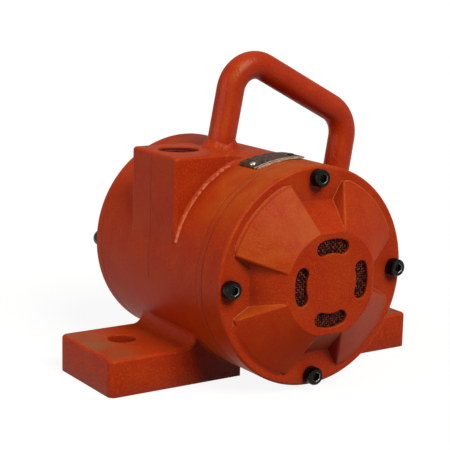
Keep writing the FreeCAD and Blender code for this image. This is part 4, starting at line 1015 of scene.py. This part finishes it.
# %% [markdown]
# ## The weld at the handle's root
#
# The handle is welded on where the boss runs out, and the weld metal spreads from the bar in a lumpy flare.
# Each ring of the flare goes round the bar: the first one lies high up in the bar, the next ones sink and
# widen, and the last two turn back under the surface, so that the skin closes. Noise makes the drops.

# %% Run the weld
BAR_RADIUS = 10.7 * MM
BAR_FOOT = Vector((-17.4 * MM, 0, boss_top))
BAR_LEAN = math.atan2(13.4, 71.6)
FLARE_SPREAD = 4.8 * MM
FLARE_RISE = 7 * MM
FLARE_FALL = 2.2
FLARE_LEVELS = 10
FLARE_SIDES = 96
FLARE_SINK = 0.8 * MM
FLARE_TOP = -0.6 * MM
FLARE_CLOSE = -2 * MM
FLARE_UNEVEN = 0.35
DROP_SIZE = 3.2 * MM
DROP_RISE = 1.1 * MM
DROP_OUT = 0.6
bar_along = Vector((math.sin(BAR_LEAN), 0, math.cos(BAR_LEAN)))
bar_across = Vector((math.cos(BAR_LEAN), 0, -math.sin(BAR_LEAN)))


def flare_ring(out_by, rise, sink, lumps):
    """Lay one ring of the flare, out_by from the bar's surface and a rise above what lies below."""
    ring = []
    for turn in turns_round(FLARE_SIDES):
        radial = bar_across * math.cos(turn) + ALONG_AXIS * math.sin(turn)
        wide = 1 + FLARE_UNEVEN * noise.noise(Vector((2 * math.cos(turn), 2 * math.sin(turn), 7)))
        spot = BAR_FOOT + radial * (BAR_RADIUS + out_by * wide)
        spot += bar_along * (max(run_out_height(spot.x), barrel_height(spot.x)) - spot.z) / bar_along.z
        drop = noise.noise(spot / DROP_SIZE) + 0.5 * noise.noise(spot / DROP_SIZE * 2)
        ring.append(spot + bar_along * (rise * wide - sink + lumps * drop) + radial * lumps * DROP_OUT * drop)
    return ring


flare_rings = [flare_ring(FLARE_TOP, FLARE_RISE, 0, 0)]
for level in range(1, FLARE_LEVELS):
    share = level / FLARE_LEVELS
    lumps = DROP_RISE * math.sin(math.pi * share)
    flare_rings.append(flare_ring(FLARE_SPREAD * share, FLARE_RISE * (1 - share) ** FLARE_FALL, 0, lumps))
flare_rings.append(flare_ring(FLARE_SPREAD, 0, FLARE_SINK, 0))
flare_rings.append(flare_ring(FLARE_CLOSE, 0, FLARE_SINK, 0))
flare_rings.append(flare_rings[0])
points, faces = skin_rings(flare_rings)
make_piece("handle_weld", points, faces[:-2], cast_enamel)

# %% [markdown]
# ## The studio
#
# The photograph has a plain white ground. The floor is a diffuse surface that also glows for rays from the
# camera and from glossy or clear surfaces, so it reads as white but still takes the machine's shadow, and
# it throws little light back up: in the photograph the underside of the handle is nearly black.

# %% Lay the floor
FLOOR_GREY = "#646464"
FLOOR_GLOW = 0.9
FLOOR_REACH = 9

floor_material, tree = new_material("pale_studio_floor")
ray = add_node(tree, "ShaderNodeLightPath")
seen = add_node(tree, "ShaderNodeMath", {
    0: ray.outputs["Is Camera Ray"], 1: ray.outputs["Is Glossy Ray"]}, operation="MAXIMUM")
seen_through = add_node(tree, "ShaderNodeMath", {
    0: seen.outputs[0], 1: ray.outputs["Is Transmission Ray"]}, operation="MAXIMUM")
strength = add_node(tree, "ShaderNodeMath", {
    0: seen_through.outputs[0], 1: FLOOR_GLOW}, operation="MULTIPLY")
glow = add_node(tree, "ShaderNodeEmission", {
    "Color": linear("#FFFFFF"), "Strength": strength.outputs[0]})
matt = add_node(tree, "ShaderNodeBsdfDiffuse", {"Color": linear(FLOOR_GREY)})
floor_shader = add_node(tree, "ShaderNodeAddShader", {0: glow.outputs[0], 1: matt.outputs[0]})
add_node(tree, "ShaderNodeOutputMaterial", {"Surface": floor_shader.outputs[0]})
corners = [(x * FLOOR_REACH, y * FLOOR_REACH, 0) for x, y in ((-1, -1), (1, -1), (1, 1), (-1, 1))]
floor_mesh = bpy.data.meshes.new("studio_floor")
floor_mesh.from_pydata(corners, [], [(0, 1, 2, 3)])
floor = bpy.data.objects.new("studio_floor", floor_mesh)
floor.data.materials.append(floor_material)
bpy.context.scene.collection.objects.link(floor)
print("floor laid at z = 0")

# %% [markdown]
# ## The lamps
#
# The light comes from above and the front, with weaker ones from the top and from both sides. Four soft
# lamps far away act as soft boxes and light the floor evenly. The world adds a faint glow: the camera sees
# it as white, and glossy surfaces see it as a pale backdrop. A strength of one here lights a surface that
# faces the lamp so that its colour shows as it is written.

# %% Hang the lamps
WORLD_GLOW = 0.04
BACKDROP_GLOW = 0.4


def soft_lamp(name, toward, spread_degrees, strength, colour):
    """Hang a far soft lamp that shines from a direction."""
    data = bpy.data.lights.new(name, "SUN")
    data.angle = math.radians(spread_degrees)
    data.energy = strength * math.pi
    data.color = linear(colour)[:3]
    lamp = bpy.data.objects.new(name, data)
    lamp.rotation_mode = "QUATERNION"
    lamp.rotation_quaternion = (-Vector(toward)).to_track_quat("-Z", "Y")
    bpy.context.scene.collection.objects.link(lamp)


soft_lamp("key_lamp", (0.03, -0.73, 0.68), 30, 0.92, "#FFFBF4")
soft_lamp("top_lamp", (0.0, 0.05, 1.0), 70, 0.12, "#FFFFFF")
soft_lamp("left_lamp", (-0.96, 0.06, 0.24), 46, 0.50, "#FFF4E2")
soft_lamp("right_lamp", (0.85, -0.45, 0.15), 40, 0.06, "#FFFFFF")
world = bpy.data.worlds.new("studio_world")
bpy.context.scene.world = world
world.use_nodes = True
tree = world.node_tree
tree.nodes.clear()
ray = add_node(tree, "ShaderNodeLightPath")
mirrored = add_node(tree, "ShaderNodeMath", {
    0: ray.outputs["Is Glossy Ray"], 1: ray.outputs["Is Transmission Ray"]}, operation="MAXIMUM")
backdrop = add_node(tree, "ShaderNodeMapRange", {
    "Value": mirrored.outputs[0], "To Min": WORLD_GLOW, "To Max": BACKDROP_GLOW})
seen_sky = add_node(tree, "ShaderNodeMath", {
    0: backdrop.outputs[0], 1: ray.outputs["Is Camera Ray"]}, operation="MAXIMUM")
sky = add_node(tree, "ShaderNodeBackground", {"Color": linear("#FFFFFF"), "Strength": seen_sky.outputs[0]})
add_node(tree, "ShaderNodeOutputWorld", {"Surface": sky.outputs[0]})
bpy.context.scene.view_settings.view_transform = "Standard"
print("four soft lamps and an even world")
